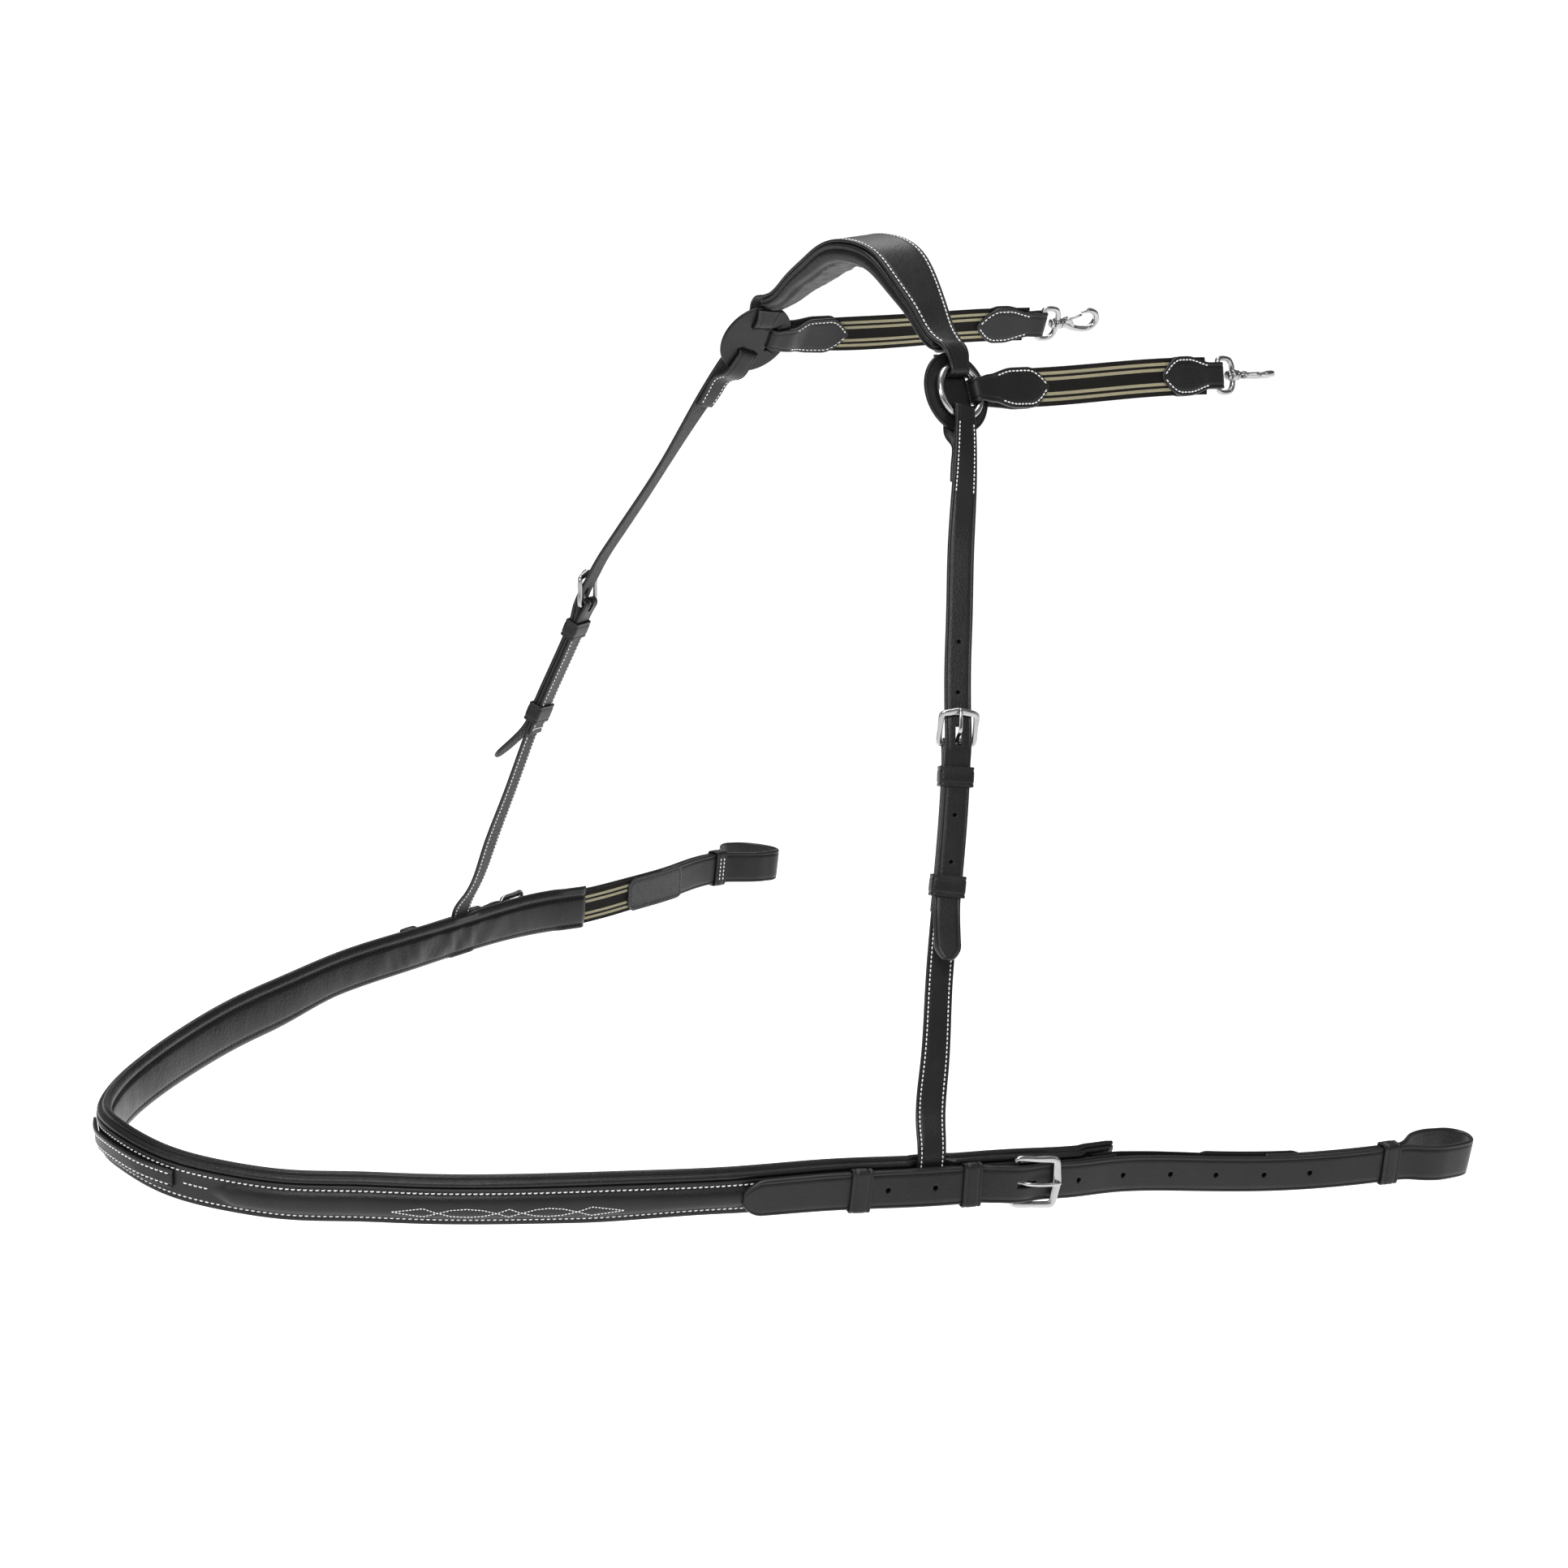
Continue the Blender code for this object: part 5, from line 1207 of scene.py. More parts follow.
    r = 1.5 + GAP + 0.6
    bottom, top = low + 0.6, low + 1.2 + GAP + 0.6
    path = [(s_bar - 19, bottom), (s_bar - 10, bottom), (s_bar - 4, bottom), (s_bar, n_bar - r)]
    path += arc(s_bar, n_bar, r, -60, 90, 6)
    path += [(s_bar - 4, n_bar + r - 0.8), (s_bar - 9, top + 0.5), (s_bar - 13, top), (s_bar - 19, top)]
    obj, loc = detailed("band_buckle_loop_" + side, g, path, 22, 1.2, sgn, "harness", ["band_buckle_chape_" + side], radius=0.5, step=1.2)
    cut_slot(obj, block(g, s_bar - 4.6, s_bar + 8, -2.2, 2.2, low - 3, n_bar + 9, sgn))
    detailed_buckle("band", side, g, s_bar, n_bar, lie + BILLET_THICK / 2 + GAP + 2.0, +1, sgn, "band_tongue_" + side)

    route = [(s_end - 18, -1.4), (s_end - 9, -1.4), (s_end, -1.35), (s_end + 12, -0.4), (s_tab0, 1.4),
             (s_tab0 + 20, 1.9), (s_tab1 - 27, 1.9)]
    elastic("band_elastic_tape_" + side, g, easy(route), 25.0, 1.8, sgn, ["band_elastic_" + side], "harness")
    path = [(s_tab0, -0.6), (s_tab0 + 6, -0.5), (s_tab0 + 20, -0.35), (s_tab0 + 36, -0.35),
            (s_tab1 - 8, -0.35), (s_tab1, -0.35)]

    def tabw(q, d):
        u = np.clip(d / 9.0, 0, 1)
        v = np.clip((d[-1] - d) / 5.0, 0, 1)
        return (15.0 + 11.0 * np.sin(u * math.pi / 2)) * (0.86 + 0.14 * v)

    obj, loc = detailed("elastic_tab_leather_" + side, g, path, tabw, 1.6, sgn, "harness", ["elastic_tab_" + side], radius=0.6,
                        under=[(2.4, 0.5, 0.2)])
    dark = Thread()
    L = loc.length
    edge = [(3, -6.5), (6, -9.6), (12, -10.4), (L - 6, -10.2), (L - 3, -9), (L - 3, 9), (L - 6, 10.2), (12, 10.4), (6, 9.6), (3, 6.5), (3, -6.5)]
    dd, xx = outline(edge)
    pts, up = loc(dd, xx, -0.8)
    dark.add(pts, -up, pitch=3.2, r=0.42, lift=0.2)
    dark.piece("elastic_tab_stitching_" + side, DARKTHREAD, "harness", sgn)


def outline(corners, step=1.0):
    """Evenly walked polyline through (distance, across) corners."""
    c = np.array(corners, float)
    d = np.concatenate([[0], np.cumsum(np.linalg.norm(np.diff(c, axis=0), axis=1))])
    at = np.arange(0, d[-1], step)
    return np.interp(at, d, c[:, 0]), np.interp(at, d, c[:, 1])


def elastic(name, ribbon, path, width, thick, sgn, nodes, body=None):
    """Woven elastic tape: four raised tan cords' worth of stripe on a ribbed black ground."""
    q, d = fine_path(path, 1.5)
    h = thick / 2
    g = np.gradient(q, d, axis=0)
    g = g / np.linalg.norm(g, axis=1, keepdims=True)
    p, t, w, n = frames(ribbon, q[:, 0])
    nrm = n * g[:, :1] - t * g[:, 1:2]
    half = width / 2
    marks = [-half + 0.12 * width, -half + 0.20 * width, -half + 0.27 * width, -half + 0.35 * width]
    marks = marks + [-m for m in marks[::-1]]
    xs = sorted(set([-half + 0.5, half - 0.5] + marks + list(np.linspace(marks[3] + 1.2, marks[4] - 1.2, 6)) + [-half + 1.6, half - 1.6]))
    stripes = [(marks[i], marks[i + 1]) for i in (0, 2, 4, 6)]

    def kind(a, b):
        m = (a + b) / 2
        return 1 if any(s0 < m < s1 for s0, s1 in stripes) else 0

    def height(x):
        return 0.16 if any(s0 - 0.01 <= x <= s1 + 0.01 for s0, s1 in stripes) else 0.0

    sec = [(x, -h - height(x)) for x in xs] + [(half, -h * 0.4), (half, h * 0.4)] + [(x, h + height(x)) for x in xs[::-1]] \
        + [(-half, h * 0.4), (-half, -h * 0.4)]
    zone = [kind(a, b) for a, b in zip(xs[:-1], xs[1:])] + [0, 0, 0] + [kind(a, b) for a, b in zip(xs[::-1][:-1], xs[::-1][1:])] + [0, 0, 0]
    a = np.array(sec)
    rows, uvs = [], []
    for i in range(len(q)):
        e = a.copy()
        # the selvedge scallops a little with each weft
        e[:, 0] *= 1 + 0.004 * math.sin(d[i] * 2.2)
        rows.append(p[i] + n[i] * q[i, 1] + w[i] * e[:, :1] + nrm[i] * e[:, 1:2])
        uvs.extend((d[i], x) for x in e[:, 0])
    k = len(a)
    faces = grid_faces(len(q), k)
    fm = [zone[j] for _ in range(len(q) - 1) for j in range(k)]
    faces += [tuple(range(k))[::-1], tuple((len(q) - 1) * k + j for j in range(k))]
    fm += [0, 0]
    obj = make(name, np.concatenate(rows), faces, [WEAVE, STRIPE], sgn, face_mats=fm, uvs=np.array(uvs), body=body, nodes=nodes,
               slot="elastic_webbing")
    recalc(obj)
    return obj


# ============================================================ neck side
def detailed_neck(side, sgn, neck):
    bar = NECK_BAR_S
    lay = NECK_THICK / 2 + 0.15
    r = BUCKLES["neck"]["bar_r"] + GAP + NECK_THICK / 2
    path = [tuple(q) for q in easy([(NECK_FOOT_S, NECK_FOOT_N), (NECK_FOOT_S - 10, NECK_FOOT_N),
                                    (NECK_FOOT_S - 20, NECK_FOOT_N), (NECK_FOOT_S - 30, NECK_FOOT_N + 0.1),
                                    (NECK_FOOT_S - 45, 0.4), (NECK_FOOT_S - 90, lay),
                                    (bar + 40, lay), (bar + 14, lay)], step=12)]
    path += [(bar + 8, lay + 0.5), (bar + 4, r - 0.5)]
    path += arc(bar, 0, r, 90, 270, 9)
    path += [(bar + 4, -r + 0.5), (bar + 8, -lay - 0.5), (bar + 14, -lay)]
    path += [(bar + 14 + 94 * k / 8, -lay) for k in range(1, 9)]
    path = path[::-1]
    widths = [NECK_WIDTH - (NECK_WIDTH - 18.0) * mix(0, 1, (NECK_FOOT_S - 60 - s) / 80) for s, _ in path]
    obj, loc = detailed("neck_strap_leather_" + side, neck, path, widths, NECK_THICK, sgn, "harness", ["neck_strap_lower_" + side],
                        lines=[(2.5, 0.55, 0.22)], radius=0.8)
    cut_slot(obj, block(neck, bar - 8, bar + 5.2, -2.2, 2.2, -8, 9, sgn))
    rows = Thread()
    L = loc.length
    inside, outside = loc.at_s(bar + 12, hi=104), loc.at_s(bar + 12, lo=110)
    for d0, d1, face, pitch in ((3, inside - 4, 1, 2.9), (outside, L - 2, 1, 2.9), (outside + 98, L - 6, -1, 2.9)):
        d = np.arange(d0, d1, 2.0)
        for sg in (-1, 1):
            pts, up = loc(d, sg * (loc.width(d) / 2 - 2.5), face * (NECK_THICK / 2 - 0.08))
            rows.add(pts, up * face, pitch=pitch, r=0.42, lift=0.3)
    # the end of the fold, caught down by a short cross row
    xs = np.linspace(-6, 6, 9)
    pts, up = loc(np.full(9, 5.0), xs, NECK_THICK / 2)
    rows.add(pts, up, pitch=2.9, r=0.42)
    rows.piece("neck_strap_stitching_" + side, WHITE, "harness", sgn)

    lie = lay + NECK_THICK / 2 + GAP + NECK_BILLET_THICK / 2
    over = r + NECK_THICK / 2 + GAP + NECK_BILLET_THICK / 2
    front = RING_WIRE + 0.4 + NECK_BILLET_THICK / 2
    rear = GUARD_BACK - 0.4 - NECK_BILLET_THICK / 2
    seat = FOLD_REACH - NECK_BILLET_THICK / 2
    path = [tuple(q) for q in easy([(NECK_TIP_S, lie + 16.5), (NECK_TIP_S - 4, lie + 14.6), (NECK_TIP_S - 9, lie + 12.0),
                                     (NECK_TIP_S - 20, lie + 6.3), (NECK_TIP_S - 30, lie + 1.9),
                                     (NECK_TIP_S - 38, lie), (bar + 60, lie), (bar + 28, lie), (bar + 14, lie),
                                     (bar + 8, lie + 0.8), (bar + 4, over - 0.15), (bar, over), (bar - 5, over),
                                     (bar - 12, over - 0.3), (bar - 19, over - 0.9), (bar - 34, lie + 0.6),
                                     (bar - 60, lie), (90, lie), (50, lie), (30, front + 0.1), (20, front)], step=12)]
    path += fold(seat, front, rear, 18)
    path += [(28, rear), (34, rear + 3.2), (40, lie - NECK_BILLET_THICK - 0.45),
             (50, lie - NECK_BILLET_THICK - GAP), (64, lie - NECK_BILLET_THICK - GAP)]
    path = path[::-1]

    def width(q, d):
        u = np.clip((d[-1] - d) / 10.0, 0, 1)
        v = np.clip((q[:, 0] - 14) / 16, 0, 1)
        return np.minimum(16.0 + (NECK_BILLET_WIDTH - 16.0) * v * v * (3 - 2 * v),
                          6.5 + (NECK_BILLET_WIDTH - 6.5) * np.sin(u * math.pi / 2) ** 0.8)

    obj, loc = detailed("neck_billet_strap_" + side, neck, path, width, NECK_BILLET_THICK, sgn, "harness", ["neck_billet_" + side],
                        lines=[(2.0, 0.5, 0.22)], radius=0.9, crown=0.1)
    cut_slot(obj, block(neck, bar - 10.5, bar + 1.2, -2.0, 2.0, over - 6, over + 5, sgn))
    at = lambda s: loc.at_s(s, lo=60)
    punch(obj, loc, [at(s) for s in (172, 204, 283, 313)], NECK_BILLET_THICK, sgn, r=1.35, blind=True)
    rows = Thread()
    d = np.arange(at(24), at(72), 1.0)
    e = np.arange(3, 34, 1.0)
    for sg in (-1, 1):
        for run in (d, e):
            pts, up = loc(run, sg * (loc.width(run) / 2 - 2.6), NECK_BILLET_THICK / 2 - 0.02)
            rows.add(pts, up, pitch=2.9, r=0.42, lift=0.2)
    rows.piece("neck_billet_stitching_" + side, WHITE, "harness", sgn)

    for k, s in zip(("upper", "lower"), NECK_KEEPERS_S):
        detailed_keeper("neck_keeper_loop_%s_%s" % (k, side), neck, s, 13 if k == "upper" else 14, 9.9,
                        -lay - NECK_THICK / 2 - GAP, lie + NECK_BILLET_THICK / 2 + GAP, sgn, "harness", "neck_keeper_%s_%s" % (k, side))
    detailed_buckle("neck", side, neck, bar, 0.0, over - 0.9 + NECK_BILLET_THICK / 2 + GAP + 1.7, -1, sgn, "neck_tongue_" + side)


# ============================================================ rings, guards
def detailed_ring(side, sgn):
    c = np.array(RING_CENTRE)
    rr = RING_OUTER - RING_WIRE
    pts = [c + rr * (RING_H * math.cos(a) + RING_V * math.sin(a)) for a in np.linspace(0, 2 * math.pi, 120, endpoint=False)]
    v, f = rod(pts, RING_N, RING_WIRE, RING_WIRE, 24, closed=True)
    obj = make("round_ring_" + side, v, f, STEEL, sgn, body="steel_ring_" + side, nodes=["ring_" + side], slot="polished_steel")
    recalc(obj)


def detailed_guard(side, sgn, directions):
    """Leather disc behind the ring, rounded rim, slots for the three straps."""
    c = np.array(RING_CENTRE)
    k, h = 120, (GUARD_FRONT - GUARD_BACK) / 2
    m = (GUARD_FRONT + GUARD_BACK) / 2
    prof = [(0.0, h), (8.0, h), (16.0, h), (GUARD_RADIUS - 3.0, h), (GUARD_RADIUS - 2.6, h - 0.22), (GUARD_RADIUS - 2.0, h - 0.22),
            (GUARD_RADIUS - 1.6, h)]
    prof += [(GUARD_RADIUS - 0.9 + 0.9 * math.cos(a), h - 0.9 + 0.9 * math.sin(a)) for a in np.radians([80, 50, 20])]
    prof += [(GUARD_RADIUS - 0.9 + 0.9 * math.cos(a), -h + 0.9 + 0.9 * math.sin(a)) for a in np.radians([-20, -50, -80])]
    prof += [(GUARD_RADIUS - 1.6, -h), (16.0, -h), (8.0, -h), (0.0, -h)]
    verts = [c + RING_N * (m + h)]
    rings = prof[1:-1]
    for r, z in rings:
        for j in range(k):
            a = 2 * math.pi * j / k
            verts.append(c + RING_N * (m + z) + r * (RING_H * math.cos(a) + RING_V * math.sin(a)))
    verts.append(c + RING_N * (m - h))
    last = len(verts) - 1
    faces = grid_faces(len(rings), k, start=1)
    faces += [(0, 1 + j, 1 + (j + 1) % k) for j in range(k)]
    b = 1 + (len(rings) - 1) * k
    faces += [(last, b + (j + 1) % k, b + j) for j in range(k)]
    obj = make("ring_guard_leather_" + side, verts, faces, [BLACK, EDGE], sgn, slot="black_leather")
    recalc(obj)
    for label, (d, half, r0, r1) in directions.items():
        e = np.cross(RING_N, d)
        corners = []
        for n in (GUARD_FRONT + 2, GUARD_BACK - 2):
            for x, y in ((r0, -half), (r1, -half), (r1, half), (r0, half)):
                corners.append((c + RING_N * n + d * x + e * y) * (sgn, 1, 1))
        cut_slot(obj, corners)
    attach(obj, "harness")
    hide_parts("ring_guard_" + side)


# ============================================================ wither bridge
def detailed_pad(pad):
    mid = pad.length / 2
    seat = FOLD_REACH - PAD_LEATHER / 2
    front = RING_WIRE + 0.4 + PAD_LEATHER / 2
    rear = GUARD_BACK - 0.9 - PAD_LEATHER / 2
    lie = 0.15 + PAD_LEATHER / 2
    half = [(mid - k * (mid - 34) / 22, lie) for k in range(23)]
    half += [(29, lie + 1.2), (24, front - 0.3), (18.5, front)]
    half += fold(seat, front, rear, 18)
    half += [(24, rear), (28.5, rear)]
    half = half[::-1]
    near = [(pad.length - d, n) for d, n in half[::-1]]
    path = half + near[1:]
    widths = []
    for s, n in path:
        d = min(s, pad.length - s)
        w = mix(16.0, 21.0, (d - 15) / 14)
        w = w + (PAD_WIDTH_CREST - 5 - 21.0) * mix(0, 1, (d - 26) / (mid - 55))
        widths.append(w)
    obj, loc = detailed("wither_bridge_leather", pad, path, widths, PAD_LEATHER, 1, "harness", ["wither_pad_outer"],
                        lines=[(3.0, 0.6, 0.3)], radius=0.9, cols=10)
    rows = Thread()
    a, b = loc.at_s(30, lo=20), loc.at_s(pad.length - 30, lo=60, hi=loc.length - 20)
    d = np.arange(a, b, 2.0)
    for sg in (-1, 1):
        pts, up = loc(d, sg * (loc.width(d) / 2 - 3.0), PAD_LEATHER / 2 - 0.2)
        rows.add(pts, up, pitch=3.5, r=0.46, lift=0.35, slant=0.08)
    rows.piece("wither_bridge_seams", WHITE, "harness")

    ss = np.arange(33.5, pad.length - 33.4, 1.6)
    p, t, w, n = frames(pad, ss)
    verts, info = [], []
    for i, s in enumerate(ss):
        d = min(s, pad.length - s)
        u = mix(0, 1, (d - 30) / (mid - 50))
        W = (PAD_WIDTH_TAB + (PAD_WIDTH_CREST - PAD_WIDTH_TAB) * u) / 2
        T = PAD_THICK_TAB + (PAD_THICK_CREST - PAD_THICK_TAB) * u
        edge = W - 2.4
        sec = [(-edge + 1.5, -0.2), (0, -0.2), (edge - 1.5, -0.2)]
        for a in np.radians([120, 85, 50, 15, -20, -50]):
            sec.append((W - 1.9 + 1.9 * math.cos(a), -1.5 + 1.4 * math.sin(a)))
        sec += [(W - 1.5, -3.5)]
        for a in np.radians([60, 30, 0, -30, -60]):
            sec.append((W - 2.6 + 2.6 * math.cos(a), -T * 0.5 + (T * 0.5 - 3.2) * math.sin(a)))
        c0 = 5.2
        sec += [(W - c0 + 0.8, -T + 1.8), (W - c0, -T + 2.5), (W - c0 - 0.8, -T + 1.8)]
        for x in np.linspace(W - c0 - 1.9, -W + c0 + 1.9, 17):
            q = max(1 - (x / (W - c0 + 0.5)) ** 2, 0)
            sec.append((x, -T + 1.2 - 1.5 * q ** 0.5 + ripple(s * 1.1, x, 1.7) * 1.15 * q ** 0.5 * u ** 0.5))
        sec += [(-W + c0 + 0.8, -T + 1.8), (-W + c0, -T + 2.5), (-W + c0 - 0.8, -T + 1.8)]
        for a in np.radians([-120, -150, 180, 150, 120]):
            sec.append((-W + 2.6 + 2.6 * math.cos(a), -T * 0.5 + (T * 0.5 - 3.2) * math.sin(a)))
        sec += [(-W + 1.5, -3.5)]
        for a in np.radians([230, 200, 165, 130, 95, 60]):
            sec.append((-W + 1.9 + 1.9 * math.cos(a), -1.5 + 1.4 * math.sin(a)))
        a = np.array(sec)
        if i in (0, len(ss) - 1):
            a[:, 1] = -T / 2 + (a[:, 1] + T / 2) * 0.6
            a[:, 0] *= 0.94
        elif i in (1, len(ss) - 2):
            a[:, 1] = -T / 2 + (a[:, 1] + T / 2) * 0.9
        verts.append(p[i] + w[i] * a[:, :1] + n[i] * a[:, 1:])
        info.append((W - c0, T - 2.5))
    k = len(verts[0])
    faces = grid_faces(len(ss), k)
    faces += [tuple(range(k))[::-1], tuple((len(ss) - 1) * k + j for j in range(k))]
    obj = make("wither_bridge_padding", np.concatenate(verts), faces, [SOFT], body="harness", nodes=["wither_pad_lining"],
               slot="padded_lining")
    recalc(obj)
    dark = Thread()
    info = np.array(info)
    for sg in (-1, 1):
        pts = p + w * (sg * info[:, :1]) - n * info[:, 1:]
        dark.add(pts[3:-3], -n[3:-3], pitch=3.6, r=0.42, lift=0.25)
    dark.piece("wither_bridge_channel_stitching", DARKTHREAD, "harness")


# ============================================================ saddle straps
def detailed_saddle(side, sgn, rib):
    half_e = ELASTIC_THICK / 2 + GAP + TAB_THICK / 2
    front = RING_WIRE + 0.4 + TAB_THICK / 2
    rear = GUARD_BACK - 0.4 - TAB_THICK / 2
    seat = FOLD_REACH - TAB_THICK / 2
    end = SADDLE_TAB_END
    head = [(end - k * (end - 42) / 9, half_e) for k in range(10)] + [(34, half_e + 0.3), (26, front - 0.2), (19, front)]
    tailp = [(29, rear), (36, rear + 2.6), (42, -half_e - 0.2)] + [(42 + k * (end - 42) / 9, -half_e) for k in range(1, 10)]
    path = (head + fold(seat, front, rear, 18) + tailp)[::-1]

    def smooth(x):
        x = np.clip(x, 0, 1)
        return x * x * (3 - 2 * x)

    def width(q, d):
        s = q[:, 0]
        w = 16.0 + 3.0 * smooth((s - 15) / 10) + 8.5 * smooth((s - 24) / 24)
        return np.minimum(w, 2.2 + 25.3 * np.sin(np.clip((end - s) / 19.0, 0, 1) * math.pi / 2) ** 0.9)

    obj, loc = detailed("saddle_tab_leather_front_" + side, rib, path, width, TAB_THICK, sgn, "saddle_strap_" + side,
                        ["saddle_tab_front_" + side], lines=[(2.6, 0.5, 0.2)], radius=0.7, step=1.5)
    rows = Thread()
    for sgn2 in (1, -1):
        for start in (0, 1):
            d = np.arange(2.6, 50, 1.0) if start == 0 else loc.length - np.arange(2.6, 46, 1.0)
            x = loc.width(d) / 2 - 2.6
            x = np.where(x < 0.3, 0.0, x)
            pts, up = loc(d, sgn2 * x, TAB_THICK / 2 - 0.05)
            rows.add(pts, up, pitch=3.3, r=0.46, lift=0.25)
    rows.piece("saddle_tab_stitching_front_" + side, WHITE, "saddle_strap_" + side, sgn)

    path = [(s, 0.0) for s in np.linspace(50, SNAP_BAR_S - 14, 40)]
    tape = elastic("saddle_elastic_tape_" + side, rib, path, ELASTIC_WIDTH, ELASTIC_THICK, sgn, [])
    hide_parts("saddle_elastic_" + side)
    a, b = (rib.at(s, 0, 0) * (sgn, 1, 1) * MM for s in (SADDLE_TAB_END + 4, SADDLE_REAR_START - 4))
    tuple(a)
    tuple(b)
    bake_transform(tape)

    r = 1.6 + 0.5 + TAB_THICK / 2
    start = SADDLE_REAR_START
    bar = SNAP_BAR_S
    head = [(start + k * (bar - 11 - start) / 9, half_e) for k in range(10)] + [(bar - 6, r - 0.5)]
    path = head + arc(bar, 0, r, 90, -90, 8) + [(s, -n) for s, n in head[::-1]]

    def width(q, d):
        s = q[:, 0]
        w = 27.5 - 9.0 * smooth((s - (bar - 34)) / 24)
        return np.minimum(w, 2.2 + 25.3 * np.sin(np.clip((s - start) / 19.0, 0, 1) * math.pi / 2) ** 0.9)

    obj, loc = detailed("saddle_tab_leather_rear_" + side, rib, path, width, TAB_THICK, sgn, "saddle_strap_end_" + side,
                        ["saddle_tab_rear_" + side], lines=[(2.6, 0.5, 0.2)], radius=0.7, step=1.5)
    rows = Thread()
    for sgn2 in (1, -1):
        for face in (0, 1):
            d = np.arange(2.6, 47, 1.0) if face == 0 else loc.length - np.arange(2.6, 47, 1.0)
            x = loc.width(d) / 2 - 2.6
            x = np.where(x < 0.3, 0.0, x)
            pts, up = loc(d, sgn2 * x, TAB_THICK / 2 - 0.05)
            rows.add(pts, up, pitch=3.3, r=0.46, lift=0.25)
    rows.piece("saddle_tab_stitching_rear_" + side, WHITE, "saddle_strap_end_" + side, sgn)
    detailed_snap(side, sgn, rib)


def turned_shape(p, t, x, y, profile, sides=32):
    """Solid of revolution about t from (distance, radius) points."""
    verts = []
    for d, r in profile:
        for j in range(sides):
            a = 2 * math.pi * (j + 0.5) / sides
            verts.append(p + t * d + r * (x * math.cos(a) + y * math.sin(a)))
    faces = grid_faces(len(profile), sides)
    faces.append(tuple(range(sides))[::-1])
    faces.append(tuple((len(profile) - 1) * sides + j for j in range(sides)))
    return np.array(verts), faces


def detailed_snap(side, sgn, rib):
    p, t, w, n = rib.frame(SNAP_BAR_S)
    turn = math.radians(SNAP_TURN[side])
    hw = w * math.cos(turn) + n * math.sin(turn)
    hn = np.cross(t, hw)

    key = [(0, -7), (0, 7), (0.3, 10.6), (2.0, 11.7), (9.0, 11.7), (12.2, 10.4), (14.4, 7.0), (14.8, 3.6), (14.8, -3.6), (14.4, -7.0),
           (12.2, -10.4), (9.0, -11.7), (2.0, -11.7), (0.3, -10.6)]
    curve = closed_curve(key, 140)
    thick = np.where(curve[:, 0] > 11, 2.0, 1.8)
    eye = rod([p + t * a + w * b for a, b in curve], n, thick, thick, 18, closed=True, power=2.3)
    # boss on the eye's end bar, bored for the shank
    prof = [(12.9, 2.25), (12.9, 3.6), (13.3, 4.0), (17.5, 4.0), (18.0, 3.6), (18.0, 2.25)]
    sides = 32
    v, _ = turned_shape(p, t, w, n, prof, sides)
    boss = (v, grid_faces(len(prof), sides, wrap_rows=True))
    obj = make("snap_swivel_eye_" + side, *join([eye, boss]), STEEL, sgn, body="snap_eye_body_" + side,
               nodes=["snap_eye_" + side], slot="polished_steel", angle=50)
    recalc(obj)

    prof = [(9.1, 1.2), (9.2, 2.2), (9.5, 2.9), (10.0, 3.3), (11.4, 3.3), (11.8, 2.9), (12.1, 1.9), (18.35, 1.9), (18.4, 3.3), (18.7, 3.7),
            (20.2, 3.7), (20.8, 3.4), (21.8, 2.9), (23.2, 2.4), (24.6, 2.0)]
    shank = turned_shape(p, t, hw, hn, prof)
    route = [(20.5, 0.0), (23.5, -0.9), (28, -2.6), (34, -4.0), (41, -4.6), (46.2, -3.6), (49.9, -0.6), (51, 3.0), (49.7, 6.8), (46.2, 9.3),
             (41.8, 10.2), (38.6, 9.7), (35.8, 8.8)]
    c = spline([tuple(q) + (0.0,) for q in route], 90)[:, :2]
    u = np.linspace(0, 1, len(c))
    rx = np.interp(u, [0, 0.15, 0.35, 0.6, 0.75, 0.93, 1], [2.8, 2.3, 2.0, 2.35, 2.15, 1.6, 1.05])
    rz = np.interp(u, [0, 0.15, 0.35, 0.6, 0.75, 0.93, 1], [3.0, 2.6, 2.4, 2.6, 2.45, 2.1, 1.3])
    bend = rod([p + t * a + hw * b for a, b in c], hn, rx, rz, 18, power=2.2)
    # cheeks either side of the gate's pin, and the pin
    cheeks = []
    for sg in (-1, 1):
        route = [(21.5, 1.6), (24.2, 2.7), (27.0, 1.4), (30.0, -1.8)]
        q = spline([tuple(x) + (0.0,) for x in route], 18)[:, :2]
        size = np.interp(np.linspace(0, 1, 18), [0, 0.35, 1], [1.6, 2.1, 0.8])
        cheeks.append(rod([p + t * a + hw * b + hn * (sg * 2.0) for a, b in q], hn, size, np.full(18, 0.55), 12, power=2.6))
    gp = p + t * GATE_PIVOT[0] + hw * GATE_PIVOT[1]
    pin = turned_shape(gp, hn, t, hw, [(-2.9, 0.5), (-2.75, 0.85), (2.75, 0.85), (2.9, 0.5)], 16)
    obj = make("snap_bent_hook_" + side, *join([shank, bend, pin] + cheeks), STEEL, sgn, body="snap_hook_body_" + side,
               nodes=["snap_hook_" + side], slot="polished_steel", angle=50)
    recalc(obj)

    route = [(23.0, 2.3), (24.6, 3.1), (27.5, 3.95), (31.5, 5.3), (34.8, 6.35), (36.4, 6.8)]
    c = spline([tuple(q) + (0.0,) for q in route], 30)[:, :2]
    u = np.linspace(0, 1, len(c))
    rx = np.interp(u, [0, 0.1, 0.85, 1], [0.5, 0.9, 0.95, 0.5])
    rz = np.interp(u, [0, 0.1, 0.85, 1], [1.0, 1.3, 1.6, 1.0])
    v, f = rod([p + t * a + hw * b for a, b in c], hn, rx, rz, 14, power=2.6)
    obj = make("snap_spring_gate_" + side, v, f, STEEL, sgn, body="snap_gate_body_" + side, nodes=["snap_gate_" + side],
               slot="polished_steel")
    recalc(obj)


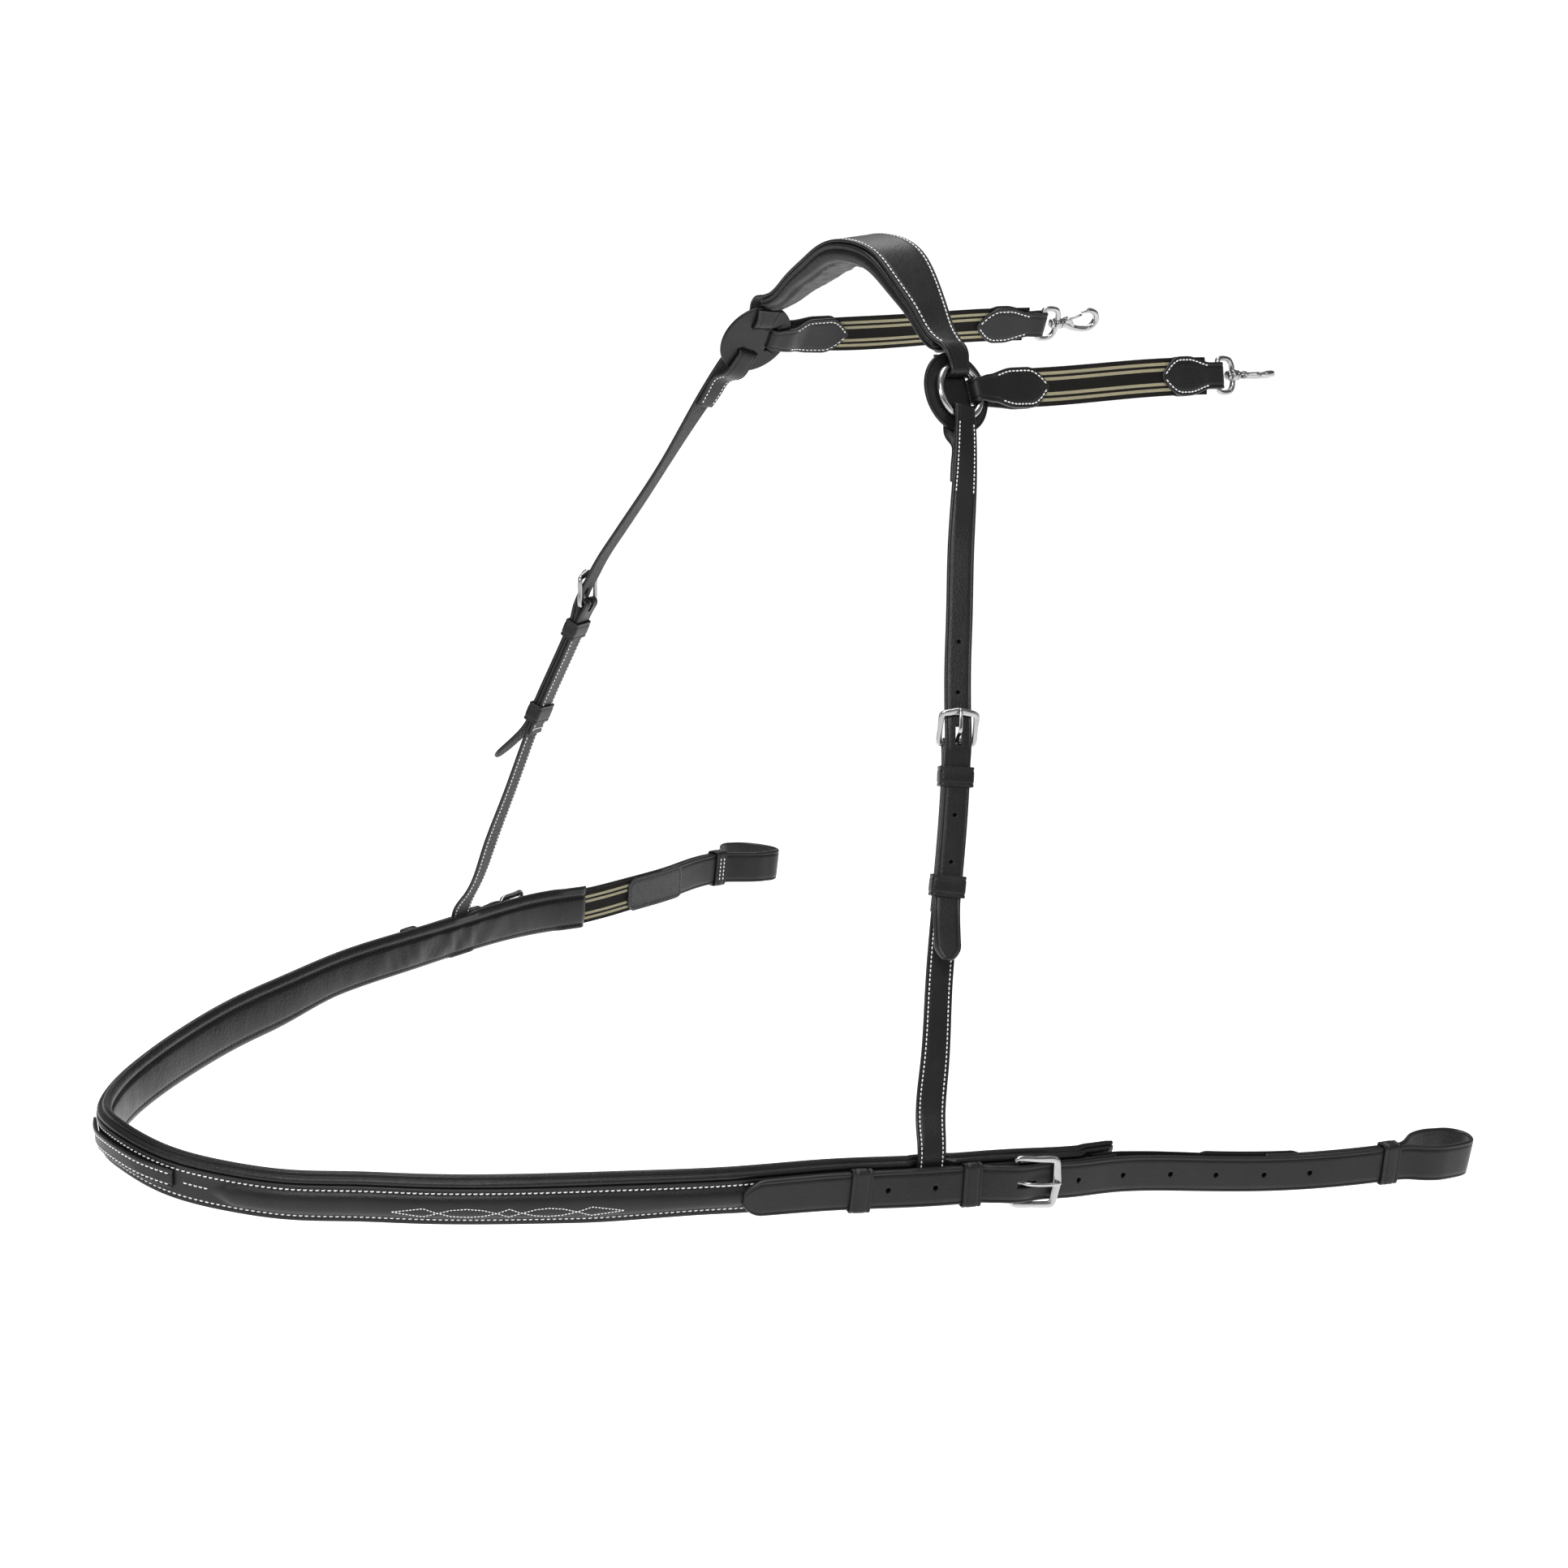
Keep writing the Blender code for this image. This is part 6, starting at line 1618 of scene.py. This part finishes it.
# ============================================================ the stage
def area(name, at, target, size, power, colour=(1, 1, 1)):
    lamp = bpy.data.lights.new(name, "AREA")
    lamp.shape = "RECTANGLE"
    lamp.size, lamp.size_y = size
    lamp.energy = power
    lamp.color = colour
    obj = bpy.data.objects.new(name, lamp)
    obj.location = at
    obj.rotation_euler = (Vector(target) - Vector(at)).to_track_quat("-Z", "Y").to_euler()
    bpy.context.scene.collection.objects.link(obj)
    return obj


def stage():
    mat, tree, p = new_material("floor_paper", (0.93, 0.93, 0.93), 0.9, spec=0.1)
    co = object_coords(tree)
    tree.links.new(ramp(tree, noise(tree, co, 3.0, 3.0), [(0.3, (0.925, 0.925, 0.925)), (0.7, (0.94, 0.94, 0.94))]), p.inputs["Base Color"])
    p.inputs["Emission Color"].default_value = (1, 1, 1, 1)
    p.inputs["Emission Strength"].default_value = 0.83
    mesh = bpy.data.meshes.new("floor")
    z, s = -1.35, 40.0
    mesh.from_pydata([(-s, -s, z), (s, -s, z), (s, s, z), (-s, s, z)], [], [(0, 1, 2, 3)])
    mesh.materials.append(mat)
    floor = bpy.data.objects.new("floor", mesh)
    bpy.context.scene.collection.objects.link(floor)

    world = bpy.data.worlds.new("studio")
    bpy.context.scene.world = world
    world.use_nodes = True
    tree = world.node_tree
    bg = tree.nodes["Background"]
    co = tree.nodes.new("ShaderNodeTexCoord").outputs["Generated"]
    sep = tree.nodes.new("ShaderNodeSeparateXYZ")
    tree.links.new(co, sep.inputs[0])
    lift = combine(tree, "ADD", combine(tree, "MULTIPLY", sep.outputs["Z"], 0.5), 0.5)
    tree.links.new(ramp(tree, lift, [(0.0, (0.5, 0.5, 0.5)), (0.5, (0.16, 0.16, 0.165)), (0.70, (0.20, 0.20, 0.205)), (1.0, (0.55, 0.55, 0.56))]),
                   bg.inputs["Color"])
    bg.inputs["Strength"].default_value = 0.75
    area("top_softbox", (-0.2, 0.1, 2.2), (0, 0, -0.3), (1.5, 1.5), 34)
    area("key_softbox", (1.75, -1.55, 1.75), (0.1, -0.2, -0.4), (1.3, 1.3), 48)
    area("front_softbox", (0.3, -3.0, 0.7), (0.1, -0.2, -0.4), (1.0, 1.0), 16)
    area("side_strip", (2.9, 1.3, 1.0), (0.2, 0, -0.35), (0.5, 1.8), 7)
    area("rim_softbox", (-2.0, 1.6, 1.6), (0, 0, -0.3), (1.2, 1.2), 16)

    a, e = math.radians(52.29), math.radians(18.85)
    r = Vector((math.cos(a), math.sin(a), 0))
    u = Vector((-math.sin(a) * math.sin(e), math.cos(a) * math.sin(e), math.cos(e)))
    b = Vector((math.sin(a) * math.cos(e), -math.cos(a) * math.cos(e), math.sin(e)))
    cam = bpy.data.cameras.new("camera")
    cam.sensor_fit, cam.sensor_width = "HORIZONTAL", 36.0
    cam.lens = 4500.0 / 1932.0 * 36.0
    cam.clip_start, cam.clip_end = 0.05, 200
    obj = bpy.data.objects.new("camera", cam)
    at = Vector((0, -0.075, -0.3542)) + b * 2.527
    obj.matrix_world = Matrix(((r.x, u.x, b.x, at.x), (r.y, u.y, b.y, at.y), (r.z, u.z, b.z, at.z), (0, 0, 0, 1)))
    bpy.context.scene.collection.objects.link(obj)
    bpy.context.scene.camera = obj
    bpy.context.scene.view_settings.view_transform = "Standard"
    bpy.context.scene.view_settings.look = "None"
    bpy.context.scene.view_settings.exposure = 0.0


# ============================================================ everything
stage()
band = band_ribbon()
BAND_HALF = band.length / 2
BAND_NECK_S = abs(band.s_at_y(NECK_FOOT_Y, BAND_HALF) - BAND_HALF)
detailed_band(band)
detailed_front_loop(band)
neck = neck_ribbon(band)
NECK_FOOT_S = neck.length
NECK_FOOT_N = 0.0
pad = pad_ribbon()
detailed_pad(pad)
for side, sgn, tail, route in (("l", 1, GIRTH_TAIL_L, SADDLE_ROUTE_L), ("r", -1, GIRTH_TAIL_R, SADDLE_ROUTE_R)):
    saddle = saddle_ribbon(route)
    detailed_ring(side, sgn)
    detailed_guard(side, sgn, {
        "pad": (-pad.frame(pad.length)[1], 8.7, 10.0, 13.4),
        "neck": (neck.frame(0)[1], 8.7, 9.8, 13.4),
        "saddle": (saddle.frame(0)[1], 9.6, 9.8, 14.6)})
    detailed_neck(side, sgn, neck)
    detailed_saddle(side, sgn, saddle)
    detailed_girth(side, sgn, tail)

bpy.context.view_layer.update()
